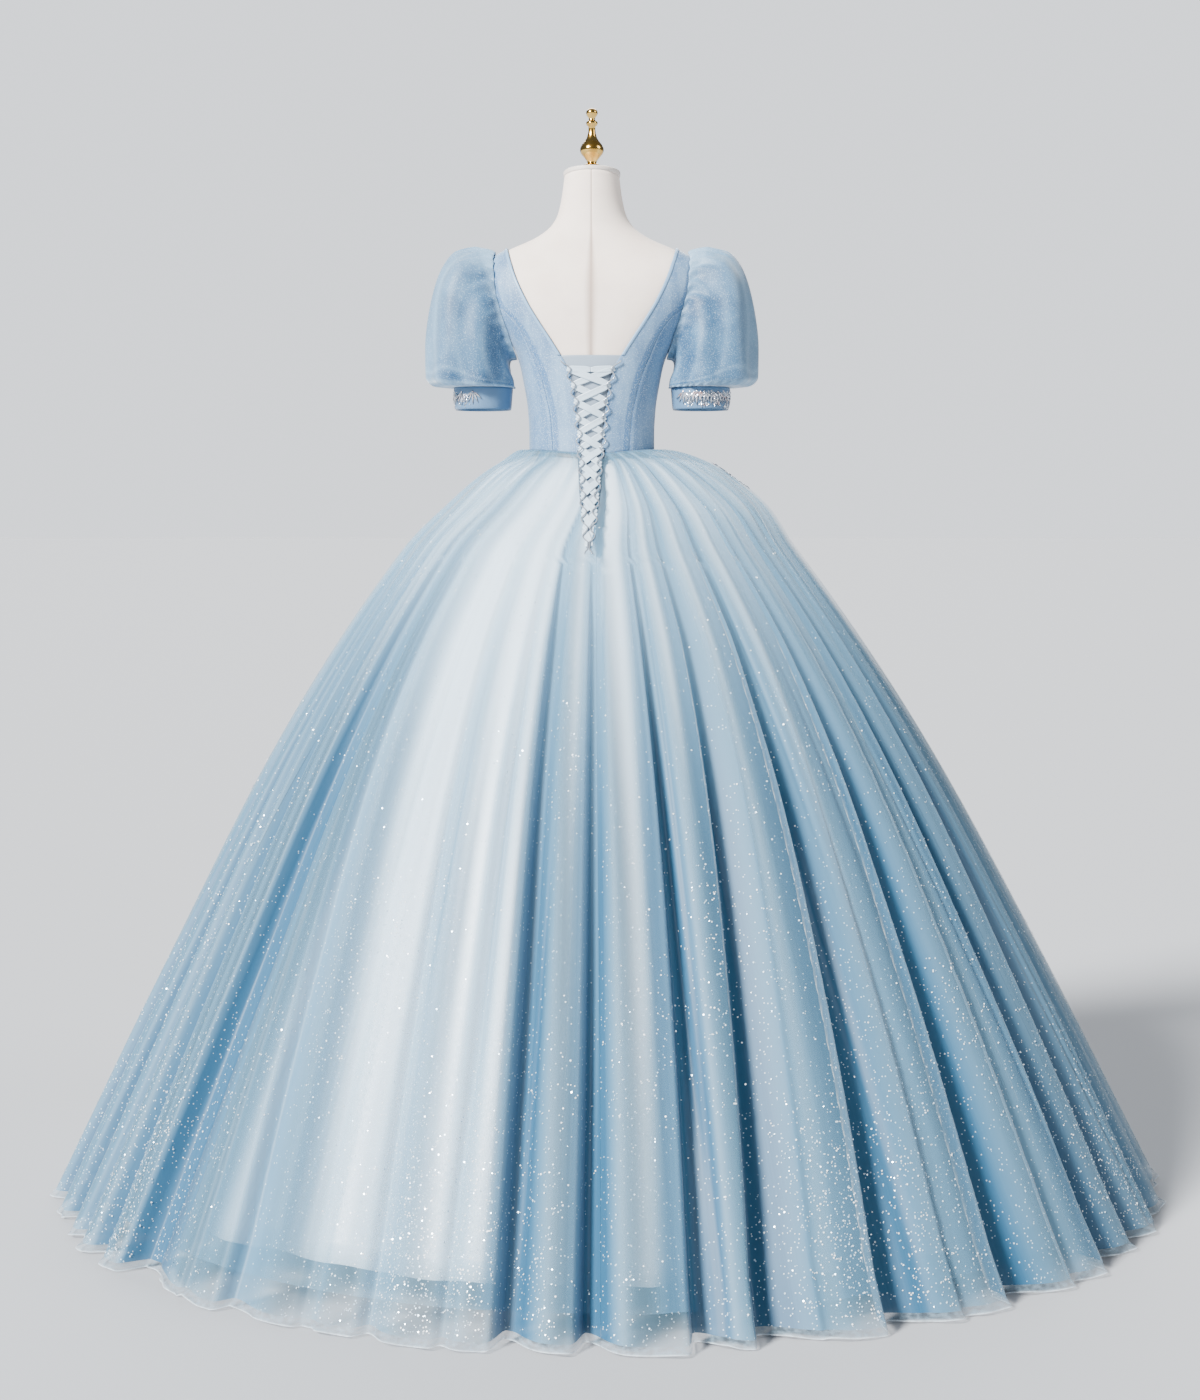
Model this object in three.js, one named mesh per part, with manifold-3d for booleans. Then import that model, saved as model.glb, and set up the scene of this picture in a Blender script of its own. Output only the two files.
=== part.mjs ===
import * as THREE from "three";
import Module from "manifold-3d";

const wasm = await Module();
wasm.setup();

// A ball gown on a limbless dress form. All sizes are in millimetres.
// Z is up, z = 0 is the floor, x = 0 and y = 0 is the axis of the stand.
// The gown faces -Y, so its laced back faces +Y and the wearer's right is -X.
// A "turn" is an angle in degrees about Z from the centre back towards the wearer's right.

// Walls and gaps
const SEAM_GAP = 0.3;
const HALF_GAP = SEAM_GAP / 2;
const BODICE_WALL = 1.6;
const SKIRT_WALL = 1.7;
const LINING_WALL = 1.1;
const NET_WALL = 1.3;
const SLEEVE_WALL = 1.5;
const CUFF_WALL = 1.8;
const MODESTY_WALL = 1.0;

// Waist seam, lower at the centre back
const WAIST_Z = 1344;
const WAIST_DIP = 9;
const WAIST_DIP_POWER = 6;
const WAIST_DIP_FADE = 4;

// The form as level sections: half width, depth behind and before the axis, roundness of the
// corners (2 is an ellipse), how far the section sits forward, and how far the cloth's outside
// stands off the form there.
const FORM = table("z width back front power forward ease", [
  [1050, 138, 96, 94, 2.2, 0, 5],
  [1075, 153, 106, 102, 2.2, 0, 5],
  [1150, 158, 110, 106, 2.2, 0, 5],
  [1230, 141, 102, 98, 2.2, 0, 5],
  [1290, 119, 90, 88, 2, 0, 5.2],
  [1335, 109.5, 84, 84, 2, 0, 5.2],
  [1375, 109.5, 84, 88, 2.05, 0, 5.2],
  [1420, 112, 87, 96, 2.15, 0, 5.2],
  [1465, 119, 91, 108, 2.3, 0, 5.2],
  [1510, 129, 93.5, 117, 2.45, 0, 5.2],
  [1550, 152, 95, 117, 2.5, 0, 5],
  [1592, 177, 95.5, 109, 2.5, 0, 4.6],
  [1636, 192, 90, 91, 2.45, 0, 4.2],
  [1668, 193, 77, 76, 2.3, 0, 4],
  [1685, 187, 66, 65, 2.2, 0, 3.8],
  [1706, 157, 58, 58, 2.1, 1, 3.6],
  [1729, 106, 54, 55, 2.05, 3, 3.6],
  [1739, 90, 53, 54, 2, 5, 3.6],
  [1752, 75, 52, 54, 2, 7, 3.6],
  [1772, 63, 52, 54, 2, 9, 3.6],
  [1800, 56, 52, 54, 2, 11, 3.6],
  [1843, 50, 50, 50, 2, 13, 3.6],
]);
const FORM_SIDES = 24;
const NECK_SLOPE = 0.16;
const NECK_SLOPE_FROM = 1772;

// Half width of the opening at the centre back: lacing gap below, open V above.
const BACK_OPENING = table("z half", [
  [1165, 1.2],
  [1200, 7],
  [1250, 12],
  [1335, 18],
  [1405, 24],
  [1450, 30],
  [1488, 40],
  [1513, 53],
  [1545, 73],
  [1577, 94],
  [1610, 114],
  [1654, 135],
  [1690, 147],
  [1712, 153],
]);

// Half width of the plain V at the front.
const FRONT_OPENING = table("z half", [
  [1335, 0],
  [1578, 0],
  [1604, 34],
  [1636, 80],
  [1668, 118],
  [1690, 140],
  [1712, 153],
]);

// Half width between the princess seams, which end at the armholes.
const BACK_PRINCESS = table("z half", [
  [1335, 66],
  [1405, 71],
  [1440, 78],
  [1475, 87],
  [1513, 102],
  [1545, 116],
  [1577, 137],
  [1604, 166],
]);
const FRONT_PRINCESS = table("z half", [
  [1335, 60],
  [1405, 68],
  [1475, 84],
  [1513, 92],
  [1545, 102],
  [1577, 124],
  [1604, 156],
]);

// Armhole seen from the side
const ARMHOLE_Z = 1604;
const ARMHOLE_RISE = 86;
const ARMHOLE_HALF_DEPTH = 50;
const SHOULDER_TIP_Z = 1688;

// Heights where the panels are sampled; the first one is the waist seam.
const PANEL_HEIGHTS = [
  WAIST_Z, 1375, 1405, 1440, 1475, 1513, 1525, 1545, 1577, 1604, 1636, 1660, 1676, 1687, 1697, 1704, 1708,
];
const SIDE_PANEL_TOP = 1604;
const CENTRE_COLUMNS = 4;
const SIDE_COLUMNS = 3;

// Bound edge of the neckline
const BINDING_WIDTH = 6;
const BINDING_WALL = 1;
const BINDING_LIFT = 0.6;

// Skirt as level rings: half width, depth behind and before, how far the ring swings to the
// wearer's right, and the share of a fold's full depth that it has there.
const SKIRT = table("z width back front swing fold", [
  [1343.7, 114.7, 89.2, 89.2, 0, 0.018],
  [1347, 127, 96, 97, 3, 0.04],
  [1320, 198, 134, 150, 24, 0.11],
  [1255, 286, 224, 240, 27, 0.22],
  [1165, 362, 332, 338, 14, 0.34],
  [860, 568, 566, 560, 18, 0.58],
  [450, 790, 792, 780, 25, 0.8],
  [16, 1008, 1014, 995, 30, 1],
]);
const HEM_Z = 16;
const GORES = [0, 60, 120, 180, 240, 300, 360];

// Folds of the tulle: where the valley lies, how deep it is at the hem and how wide its half is.
const FOLDS = table("turn deep wide", [
  [9, 55, 1.9], [14.5, 30, 1.4], [19, 20, 1.2], [26.5, 60, 2.2], [32, 24, 1.4],
  [38.5, 52, 2.1], [43, 24, 1.2], [48.5, 50, 2.1], [56, 40, 2], [63, 44, 2.2],
  [70.5, 34, 2.2], [78, 48, 2.6], [88, 36, 2.4], [97, 50, 2.8], [108, 38, 2.6],
  [118, 50, 2.8], [129, 36, 2.6], [140, 50, 3], [151, 38, 2.8], [162, 50, 3],
  [173, 40, 2.8], [185, 46, 3], [196, 38, 2.8], [207, 50, 3], [218, 36, 2.6],
  [229, 48, 3], [239, 36, 2.6], [251, 50, 3], [261, 36, 2.6], [271, 48, 2.8],
  [280.5, 34, 2.4], [288, 42, 2.4], [294.5, 30, 1.8], [301.5, 42, 2.2], [309, 48, 2.2],
  [317.5, 34, 1.8], [324, 50, 2], [335.5, 22, 1.2], [339.7, 48, 1.6], [346.2, 34, 1.5],
  [352.8, 52, 1.8], [359, 60, 2.2],
]);
const LIP_SHARE = 0.3;
const FLAT_BY_LACING = 5;
const FULL_FROM_LACING = 15;
const LEAST_COLUMN = 0.6;

// Satin lining under the tulle
const LINING_GORES = [0, 90, 180, 270, 360];
const LINING_SIDES = 48;
const LINING = table("z width back front swing wave", [
  [1336, 111.6, 86.4, 86.4, 1, 0],
  [1318, 186, 122, 138, 24, 0],
  [1255, 263, 201, 217, 27, 3],
  [1165, 331, 301, 307, 14, 4],
  [860, 520, 518, 512, 18, 6],
  [450, 726, 728, 716, 25, 9],
  [68, 905, 911, 893, 29, 12],
]);
const LINING_WAVES = 12;

// Net edging sewn to the hem of the tulle
const NET_BOTTOM = 2;
const NET_FLARE = 11;
const NET_RUFFLE = 4;

// Sleeve stations from the armhole to the cuff: the outermost and the innermost point of the
// ring, its half depth and the height of its gathers. The first ring lies on the bodice.
const SLEEVE = table("outer_x outer_z inner_x inner_z half_depth gather", [
  [190, 1694, 139, 1514, 53, 0.4],
  [210, 1712, 147, 1508, 60, 2.6],
  [246, 1704, 150, 1500, 70, 4.2],
  [278, 1664, 148, 1489, 78, 3.4],
  [294, 1602, 145, 1478, 82, 2],
  [302, 1532, 142, 1468, 82, 1.8],
  [303, 1478, 140, 1461.5, 80, 2.6],
  [282, 1461, 142, 1459, 70, 2.2],
  [252.5, 1459.5, 146, 1459.5, 53, 0.5],
]);
const SLEEVE_SIDES = 28;
const SLEEVE_GATHERS = 7;
const SLEEVE_LIFT = 0.15;

// Plain cuff
const CUFF_X = 199;
const CUFF_TOP_Z = 1459.2;
const CUFF_BOTTOM_Z = 1419;
const CUFF_TOP_RADIUS = 53;
const CUFF_BOTTOM_RADIUS = 50;
const CUFF_SIDES = 20;

// Lacing at the centre back
const LACE_TOP = 1489;
const LACE_BOTTOM = 1172;
const LACE_CROSSINGS = 11;
const RIBBON_WIDTH = 9;
const RIBBON_WALL = 0.9;
const RIBBON_LIFT = 1.5;
const RIBBON_REACH = 1.5;
const RIBBON_SAG = 2;
const CORD_RADIUS = 1.2;
const CORD_REACH = 5;
const CORD_LIFT = 0.7;
const CORD_WAIST_LIFT = 2.2;
const MODESTY_TOP = 1513;
const MODESTY_TUCK = 6;
const MODESTY_LEAST_TUCK = 0.3;
const MODESTY_TAPER = 100;
const MODESTY_LIFT = 0.8;
const MODESTY_COLUMNS = 4;
const MODESTY_ON_BODICE = [MODESTY_TOP, 1475, 1440, 1405, 1375, 1350, 1333];
const MODESTY_ON_SKIRT = [1311, 1280, 1248, 1200, 1172];
const LACE_BEND_TOP = 1345;
const LACE_BEND_FOOT = 1316;

// Applied leaf sprays. A leaf starts a little behind its place on the stem.
const LEAF_THICK = 1.3;
const LEAF_LIFT = 0.6;
const LEAF_LIFT_ON_SKIRT = 2;
const LEAF_ROOT = 2;
const LEAF_WIDEST_AT = 0.45;
const STEM_WIDTH = 2.4;
const CUFF_LEAF_LENGTH = 14;
const CUFF_LEAF_WIDTH = 7;
const CUFF_STEM_WAVE = 3;
const WAIST_LEAF_LENGTH = 21;
const WAIST_LEAF_WIDTH = 10;
const CUFF_LEAVES = 4;
const CUFF_SPRAY_FROM = -12;
const CUFF_SPRAY_TO = 92;
const CUFF_SPRAY_Z = 1440;
const WAIST_SPRAY_TURN = 98;
const WAIST_SPRAY = table("along z", [[0, 1317], [5, 1298], [2, 1279]]);

// Stand under the form
const POLE_RADIUS = 16;
const POLE_SIDES = 20;
const BASE_RADIUS = 200;
const BASE_THICK = 16;
const BASE_BEVEL = 4;
const BASE_SIDES = 36;
const TURNED_SIDES = 16;

// Turned finial: radius at each height above the neck cap
const FINIAL_FOOT = 1858.4;
const FINIAL = table("rise radius", [
  [0, 15],
  [4, 15],
  [9, 8],
  [20, 15],
  [30, 21.5],
  [40, 20],
  [52, 11],
  [72, 6],
  [80, 10],
  [84, 10],
  [88, 5],
  [95, 10],
  [102, 10],
  [108, 5],
]);

// Neck cap rings: scale of the neck's outline, share of its slope, height above it
const NECK_CAP = [[1, 1, SEAM_GAP], [1.04, 0.8, 5], [0.85, 0.4, 12], [0.3, 0, 15]];

// Colours of the pieces
const COLOURS = {
  linen: { color: 0xe6dfd8, roughness: 0.85, metalness: 0 },
  wood: { color: 0xcfc6bb, roughness: 0.6, metalness: 0 },
  brass: { color: 0xc79a4b, roughness: 0.25, metalness: 1 },
  iron: { color: 0x2f2f33, roughness: 0.5, metalness: 0.8 },
  bodice: { color: 0xaecbe2, roughness: 0.6, metalness: 0 },
  binding: { color: 0xbcd8ec, roughness: 0.5, metalness: 0 },
  tulle: { color: 0xc3dbea, roughness: 0.7, metalness: 0 },
  satin: { color: 0xdfeaf2, roughness: 0.45, metalness: 0 },
  net: { color: 0xe4edf2, roughness: 0.7, metalness: 0 },
  ribbon: { color: 0xd5e2ea, roughness: 0.4, metalness: 0 },
  cord: { color: 0xe6eaee, roughness: 0.35, metalness: 0.1 },
  cuff: { color: 0x88add0, roughness: 0.6, metalness: 0 },
  leaves: { color: 0xd9d3d6, roughness: 0.3, metalness: 0.4 },
};

// Small helpers

function table(names, rows) {
  const keys = names.split(" ");
  return rows.map((row) => Object.fromEntries(keys.map((key, i) => [key, row[i]])));
}

const range = (count) => Array.from({ length: count }, (_, i) => i);
const mix = (a, b, t) => a + (b - a) * t;
const clamp = (v, low, high) => Math.min(high, Math.max(low, v));
const radians = (degrees) => (degrees * Math.PI) / 180;
const vec = (x, y, z) => new THREE.Vector3(x, y, z);

function bracket(rows, z) {
  const rising = rows[rows.length - 1].z > rows[0].z;
  const after = rows.findIndex((row) => (rising ? row.z >= z : row.z <= z));
  const high = clamp(after < 0 ? rows.length - 1 : after, 1, rows.length - 1);
  const low = high - 1;
  return { low, high, t: clamp((z - rows[low].z) / (rows[high].z - rows[low].z), 0, 1) };
}

// Straight line between the rows of a table
function linear(rows, column, z) {
  const { low, high, t } = bracket(rows, z);
  return mix(rows[low][column], rows[high][column], t);
}

// Smooth curve through the rows of a table that never overshoots them
function smooth(rows, column, z) {
  const { low, high, t } = bracket(rows, z);
  const secant = (i) =>
    (rows[i + 1][column] - rows[i][column]) / (rows[i + 1].z - rows[i].z);
  const slope = (i) => {
    if (i === 0) return secant(0);
    if (i === rows.length - 1) return secant(i - 1);
    const [before, after] = [secant(i - 1), secant(i)];
    return before * after <= 0 ? 0 : (2 * before * after) / (before + after);
  };
  const span = rows[high].z - rows[low].z;
  const [p, q] = [rows[low][column], rows[high][column]];
  const [u, v] = [slope(low) * span, slope(high) * span];
  const [t2, t3] = [t * t, t * t * t];
  return p * (2 * t3 - 3 * t2 + 1) + u * (t3 - 2 * t2 + t) + q * (3 * t2 - 2 * t3) + v * (t3 - t2);
}

// Bodies

function signedVolume(points, faces) {
  return faces.reduce((sum, [a, b, c]) => {
    return sum + points[a].dot(points[b].clone().cross(points[c])) / 6;
  }, 0);
}

function body(points, faces) {
  const outward = signedVolume(points, faces) > 0;
  const turned = outward ? faces : faces.map(([a, b, c]) => [a, c, b]);
  return { points, faces: turned };
}

const quad = (a, b, c, d) => [[a, b, c], [a, c, d]];

// Solid through closed rings of equal length, capped flat at both ends
function loft(rings) {
  const sides = rings[0].length;
  const points = rings.flat();
  const at = (i, j) => i * sides + (j % sides);
  const faces = [];
  for (const i of range(rings.length - 1)) {
    for (const j of range(sides)) faces.push(...quad(at(i, j), at(i, j + 1), at(i + 1, j + 1), at(i + 1, j)));
  }
  for (const [i, flip] of [[0, true], [rings.length - 1, false]]) {
    for (const j of range(sides - 2)) {
      const cap = [at(i, 0), at(i, j + 1), at(i, j + 2)];
      faces.push(flip ? cap.reverse() : cap);
    }
  }
  return body(points, faces);
}

// Wall between an outer and an inner grid of points; closed grids run right round
function wall(outer, inner, closed) {
  const [rows, columns] = [outer.length, outer[0].length];
  const points = [...outer.flat(), ...inner.flat()];
  const out = (i, j) => i * columns + (j % columns);
  const inn = (i, j) => rows * columns + out(i, j);
  const spans = closed ? columns : columns - 1;
  const faces = [];
  for (const i of range(rows - 1)) {
    for (const j of range(spans)) {
      faces.push(...quad(out(i, j), out(i, j + 1), out(i + 1, j + 1), out(i + 1, j)));
      faces.push(...quad(inn(i, j), inn(i + 1, j), inn(i + 1, j + 1), inn(i, j + 1)));
    }
    if (closed) continue;
    faces.push(...quad(out(i, 0), out(i + 1, 0), inn(i + 1, 0), inn(i, 0)));
    const last = columns - 1;
    faces.push(...quad(out(i, last), inn(i, last), inn(i + 1, last), out(i + 1, last)));
  }
  for (const j of range(spans)) {
    faces.push(...quad(out(0, j), inn(0, j), inn(0, j + 1), out(0, j + 1)));
    const last = rows - 1;
    faces.push(...quad(out(last, j), out(last, j + 1), inn(last, j + 1), inn(last, j)));
  }
  return body(points, faces);
}

// Grid moved along its own normals; the hub of a row tells which side is the inside.
// At the side edges of an open grid it moves straight towards the hub, so neighbours keep clear.
function moved(grid, closed, distance, hub) {
  const rows = grid.length;
  const columns = grid[0].length;
  return grid.map((row, i) =>
    row.map((point, j) => {
      const up = grid[Math.min(i + 1, rows - 1)][j].clone().sub(grid[Math.max(i - 1, 0)][j]);
      const next = closed ? (j + 1) % columns : Math.min(j + 1, columns - 1);
      const before = closed ? (j + columns - 1) % columns : Math.max(j - 1, 0);
      const across = row[next].clone().sub(row[before]);
      const normal = up.cross(across).normalize();
      const outwards = point.clone().sub(hub(row));
      if (!closed && (j === 0 || j === columns - 1)) {
        const sideways = vec(-outwards.y, outwards.x, 0).normalize();
        normal.addScaledVector(sideways, -normal.dot(sideways)).normalize();
      }
      if (normal.dot(outwards) < 0) normal.negate();
      return point.clone().addScaledVector(normal, distance);
    }),
  );
}

const axisHub = (row) => vec(0, 0, row[0].z);
const ringHub = (row) => row.reduce((sum, p) => sum.add(p), vec(0, 0, 0)).divideScalar(row.length);

const mirrored = (shape) =>
  body(shape.points.map((p) => vec(-p.x, p.y, p.z)), shape.faces);

function toManifold({ points, faces }) {
  return new wasm.Manifold(new wasm.Mesh({
    numProp: 3,
    vertProperties: new Float32Array(points.flatMap((p) => [p.x, p.y, p.z])),
    triVerts: new Uint32Array(faces.flat()),
  }));
}

function fused(shapes) {
  const whole = shapes.map(toManifold).reduce((sum, next) => sum.add(next));
  const { vertProperties, triVerts, numProp } = whole.getMesh();
  const points = range(vertProperties.length / numProp).map((i) =>
    vec(...vertProperties.slice(i * numProp, i * numProp + 3)));
  const faces = range(triVerts.length / 3).map((i) => [...triVerts.slice(i * 3, i * 3 + 3)]);
  return { points, faces };
}

// Flat strip between two points of a plan, from the low to the high level
function strip([x1, y1], [x2, y2], width, [low, high]) {
  const length = Math.hypot(x2 - x1, y2 - y1);
  const [sideX, sideY] = [((y1 - y2) / length) * (width / 2), ((x2 - x1) / length) * (width / 2)];
  const ring = (z) => [
    vec(x1 + sideX, y1 + sideY, z), vec(x1 - sideX, y1 - sideY, z),
    vec(x2 - sideX, y2 - sideY, z), vec(x2 + sideX, y2 + sideY, z),
  ];
  return loft([ring(low), ring(high)]);
}

// A flat body laid on a surface: the chart turns a point of the plan and a height into space
function bent(shape, chart) {
  return body(shape.points.map((p) => chart(p.x, p.y, p.z)), shape.faces);
}

const group = new THREE.Group();

function add(name, shape, colour) {
  const geometry = new THREE.BufferGeometry();
  const numbers = shape.points.flatMap((p) => [p.x, p.y, p.z]);
  geometry.setAttribute("position", new THREE.Float32BufferAttribute(numbers, 3));
  geometry.setIndex(shape.faces.flat());
  const mesh = new THREE.Mesh(geometry, new THREE.MeshStandardMaterial(COLOURS[colour]));
  mesh.name = name;
  group.add(mesh);
}

// Surface of the form and of the cloth on it.
// side is +1 on the wearer's left, face is +1 behind the axis, t runs from 0 at the centre
// line to 90 degrees at the side, and out is the distance from the form.

const seamZ = (turn) => WAIST_Z - WAIST_DIP * ((1 + Math.cos(radians(turn))) / 2) ** WAIST_DIP_POWER;

function section(z) {
  const at = (column) => smooth(FORM, column, z);
  return {
    width: at("width"), back: at("back"), front: at("front"), power: at("power"), forward: at("forward"),
  };
}

function reach(x, y, z) {
  const s = section(z);
  const depth = y + s.forward >= 0 ? s.back : s.front;
  return (Math.abs(x) / s.width) ** s.power + (Math.abs(y + s.forward) / depth) ** s.power;
}

function formNormal(x, y, z) {
  const step = 0.5;
  const slope = (dx, dy, dz) => reach(x + dx, y + dy, z + dz) - reach(x - dx, y - dy, z - dz);
  return vec(slope(step, 0, 0), slope(0, step, 0), slope(0, 0, step)).normalize();
}

function formPoint(side, face, t, z, out = 0) {
  const s = section(z);
  const depth = face > 0 ? s.back : s.front;
  const x = side * s.width * Math.sin(radians(t)) ** (2 / s.power);
  const y = face * depth * Math.cos(radians(t)) ** (2 / s.power) - s.forward;
  return vec(x, y, z).addScaledVector(formNormal(x, y, z), out);
}

const degrees = (angle) => (angle * 180) / Math.PI;

function tAtX(x, z) {
  const s = section(z);
  return degrees(Math.asin(clamp(x / s.width, 0, 1) ** (s.power / 2)));
}

function tAtY(y, face, z) {
  const s = section(z);
  const depth = face > 0 ? s.back : s.front;
  return degrees(Math.acos(clamp(y / depth, 0, 1) ** (s.power / 2)));
}

const ease = (z) => smooth(FORM, "ease", z);

// Form, neck cap, finial and stand

function ringOfForm(z) {
  const lift = Math.max(0, z - NECK_SLOPE_FROM) / (FORM[FORM.length - 1].z - NECK_SLOPE_FROM);
  const quarter = FORM_SIDES / 4;
  return range(FORM_SIDES).map((k) => {
    const around = (k / quarter) * 90;
    const side = around < 180 ? 1 : -1;
    const face = around < 90 || around > 270 ? 1 : -1;
    const t = degrees(Math.asin(clamp(Math.abs(Math.sin(radians(around))), 0, 1)));
    const point = formPoint(side, face, t, z);
    point.z += lift * NECK_SLOPE * (point.y + section(z).forward);
    return point;
  });
}

function circle(x, y, z, radius, sides) {
  return range(sides).map((k) => {
    const angle = (k / sides) * 2 * Math.PI;
    return vec(x + radius * Math.sin(angle), y + radius * Math.cos(angle), z);
  });
}

function addFormAndStand() {
  const form = FORM.map((row) => ringOfForm(row.z));
  add("dress_form", loft(form), "linen");
  const top = form[form.length - 1];
  const centre = ringHub(top);
  const capRing = ([scale, tilt, rise]) => top.map((p) => {
    const z = mix(centre.z, p.z, tilt) + rise;
    return vec(mix(centre.x, p.x, scale), mix(centre.y, p.y, scale), z);
  });
  add("neck_cap", loft(NECK_CAP.map(capRing)), "wood");
  const turned = ({ rise, radius }) => circle(0, centre.y, FINIAL_FOOT + rise, radius, TURNED_SIDES);
  add("finial", loft(FINIAL.map(turned)), "brass");
  const poleEnds = [BASE_THICK + SEAM_GAP, FORM[0].z - SEAM_GAP];
  add("stand_pole", loft(poleEnds.map((z) => circle(0, 0, z, POLE_RADIUS, POLE_SIDES))), "iron");
  const disc = [
    [0, BASE_RADIUS - BASE_BEVEL / 2],
    [BASE_BEVEL, BASE_RADIUS],
    [BASE_THICK - BASE_BEVEL, BASE_RADIUS],
    [BASE_THICK, BASE_RADIUS - BASE_BEVEL],
  ];
  add("stand_base", loft(disc.map(([z, radius]) => circle(0, 0, z, radius, BASE_SIDES))), "iron");
}

// Bodice panels

const SIDES = [["left", 1], ["right", -1]];

function armholeT(face, z) {
  const level = clamp((z - ARMHOLE_Z) / ARMHOLE_RISE, -1, 1);
  const y = z > SHOULDER_TIP_Z ? 0 : ARMHOLE_HALF_DEPTH * Math.sqrt(1 - level * level);
  return tAtY(Math.max(y, HALF_GAP), face, z);
}

const openingX = (face, z) => linear(face > 0 ? BACK_OPENING : FRONT_OPENING, "half", z);
const princessX = (face, z) => linear(face > 0 ? BACK_PRINCESS : FRONT_PRINCESS, "half", z);
const openingT = (face, z) => tAtX(Math.max(openingX(face, z), HALF_GAP), z);

function bodiceGrid(side, face, heights, from, to, columns, out) {
  return heights.map((height) =>
    range(columns + 1).map((k) => {
      const t = mix(from(face, height), to(face, height), k / columns);
      const seam = formPoint(side, face, t, height);
      const turn = degrees(Math.atan2(-seam.x, seam.y));
      const z = height === WAIST_Z ? seamZ(turn) : height;
      return formPoint(side, face, t, z, ease(z) + out);
    }),
  );
}

function addBodicePanel(name, side, face, heights, from, to, columns) {
  const grid = (out) => bodiceGrid(side, face, heights, from, to, columns, out);
  add(name, wall(grid(0), grid(-BODICE_WALL), false), "bodice");
}

function addBodice() {
  const sideHeights = PANEL_HEIGHTS.filter((z) => z <= SIDE_PANEL_TOP);
  const princessIn = (face, z) => {
    return z > SIDE_PANEL_TOP ? armholeT(face, z) : tAtX(princessX(face, z) - HALF_GAP, z);
  };
  const princessOut = (face, z) => tAtX(princessX(face, z) + HALF_GAP, z);
  for (const [wearer, side] of SIDES) {
    for (const [part, face] of [["back", 1], ["front", -1]]) {
      const centre = [side, face, PANEL_HEIGHTS, openingT, princessIn, CENTRE_COLUMNS];
      addBodicePanel(`bodice_${part}_${wearer}`, ...centre);
      const beside = [side, face, sideHeights, princessOut, armholeT, SIDE_COLUMNS];
      addBodicePanel(`bodice_side_${part}_${wearer}`, ...beside);
      addNeckBinding(`neck_binding_${part}_${wearer}`, side, face);
    }
  }
}

// Narrow strip on the open edge of the neckline
function addNeckBinding(name, side, face) {
  const lowest = face > 0 ? MODESTY_TOP : FRONT_OPENING[1].z + 1;
  const heights = PANEL_HEIGHTS.filter((z) => z >= lowest);
  const inside = (_, z) => tAtX(openingX(face, z) + HALF_GAP, z);
  const outside = (_, z) => tAtX(Math.min(openingX(face, z) + BINDING_WIDTH, section(z).width - 1), z);
  const strip = (out) => bodiceGrid(side, face, heights, inside, outside, 1, BINDING_LIFT + out);
  add(name, wall(strip(BINDING_WALL), strip(0), false), "binding");
}

// Skirt

const byRing = (column, z) => linear(SKIRT, column, z);

function foldDepth(turn) {
  return FOLDS.reduce((depth, fold) => {
    const away = Math.abs(((turn - fold.turn + 540) % 360) - 180) / fold.wide;
    if (away >= 2) return depth;
    const trough = away < 1 ? mix(1, LIP_SHARE, away) : LIP_SHARE * (2 - away);
    return Math.max(depth, fold.deep * trough);
  }, 0);
}

// The waist's dip at the centre back dies out towards the hem
function waistDip(turn, z) {
  const level = clamp((z - HEM_Z) / (WAIST_Z - HEM_Z), 0, 1);
  return (WAIST_Z - seamZ(turn)) * level ** WAIST_DIP_FADE;
}

function skirtRadius(turn, width, back, front) {
  const [s, c] = [Math.sin(radians(turn)), Math.cos(radians(turn))];
  return 1 / Math.hypot(s / width, c / (c > 0 ? back : front));
}

// Folds lie flat beside the lacing
function flatness(turn, z) {
  const away = Math.min(turn, 360 - turn);
  const share = (away - FLAT_BY_LACING) / (FULL_FROM_LACING - FLAT_BY_LACING);
  return z < BACK_OPENING[0].z ? 1 : clamp(share, 0, 1);
}

function skirtPoint(turn, fold, ring) {
  const outline = skirtRadius(turn, ring.width, ring.back, ring.front);
  const radius = outline - ring.fold * foldDepth(fold) * flatness(fold, ring.z);
  const x = -radius * Math.sin(radians(turn)) - ring.swing;
  return vec(x, radius * Math.cos(radians(turn)), ring.z - waistDip(turn, ring.z));
}

// The turns where a gore is sampled: every valley, both its lips and the ridge beyond
function goreTurns(from, to) {
  const turns = FOLDS.flatMap((fold, i) => {
    const next = FOLDS[(i + 1) % FOLDS.length];
    const nextTurn = next.turn < fold.turn ? next.turn + 360 : next.turn;
    const ridge = (fold.turn + fold.wide + nextTurn - next.wide) / 2;
    return [fold.turn - fold.wide, fold.turn, fold.turn + fold.wide, ridge].map((t) => (t + 360) % 360);
  });
  const inside = turns.filter((t) => t > from + LEAST_COLUMN && t < to - LEAST_COLUMN);
  return [from, ...inside.sort((a, b) => a - b), to];
}

// Turn of the slit's edge at the centre back, where the skirt opens under the lacing
function slitTurn(ring, swing) {
  const open = ring.z > BACK_OPENING[0].z ? linear(BACK_OPENING, "half", ring.z) : 0;
  return degrees(Math.atan2(Math.max(open, HALF_GAP) + swing, ring.back));
}

function goreGrid(rings, from, to) {
  return rings.map((ring) => {
    const gap = degrees(HALF_GAP / ring.width);
    const start = from === 0 ? slitTurn(ring, -ring.swing) : from + gap;
    const end = to === 360 ? 360 - slitTurn(ring, ring.swing) : to - gap;
    return goreTurns(from, to).map((turn) => {
      return skirtPoint(mix(start, end, (turn - from) / (to - from)), turn, ring);
    });
  });
}

function addSkirt() {
  for (const k of range(GORES.length - 1)) {
    const outer = goreGrid(SKIRT, GORES[k], GORES[k + 1]);
    add(`skirt_tulle_${k + 1}`, wall(outer, moved(outer, false, -SKIRT_WALL, axisHub), false), "tulle");
    addNetEdging(k);
  }
  addLining();
}

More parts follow.
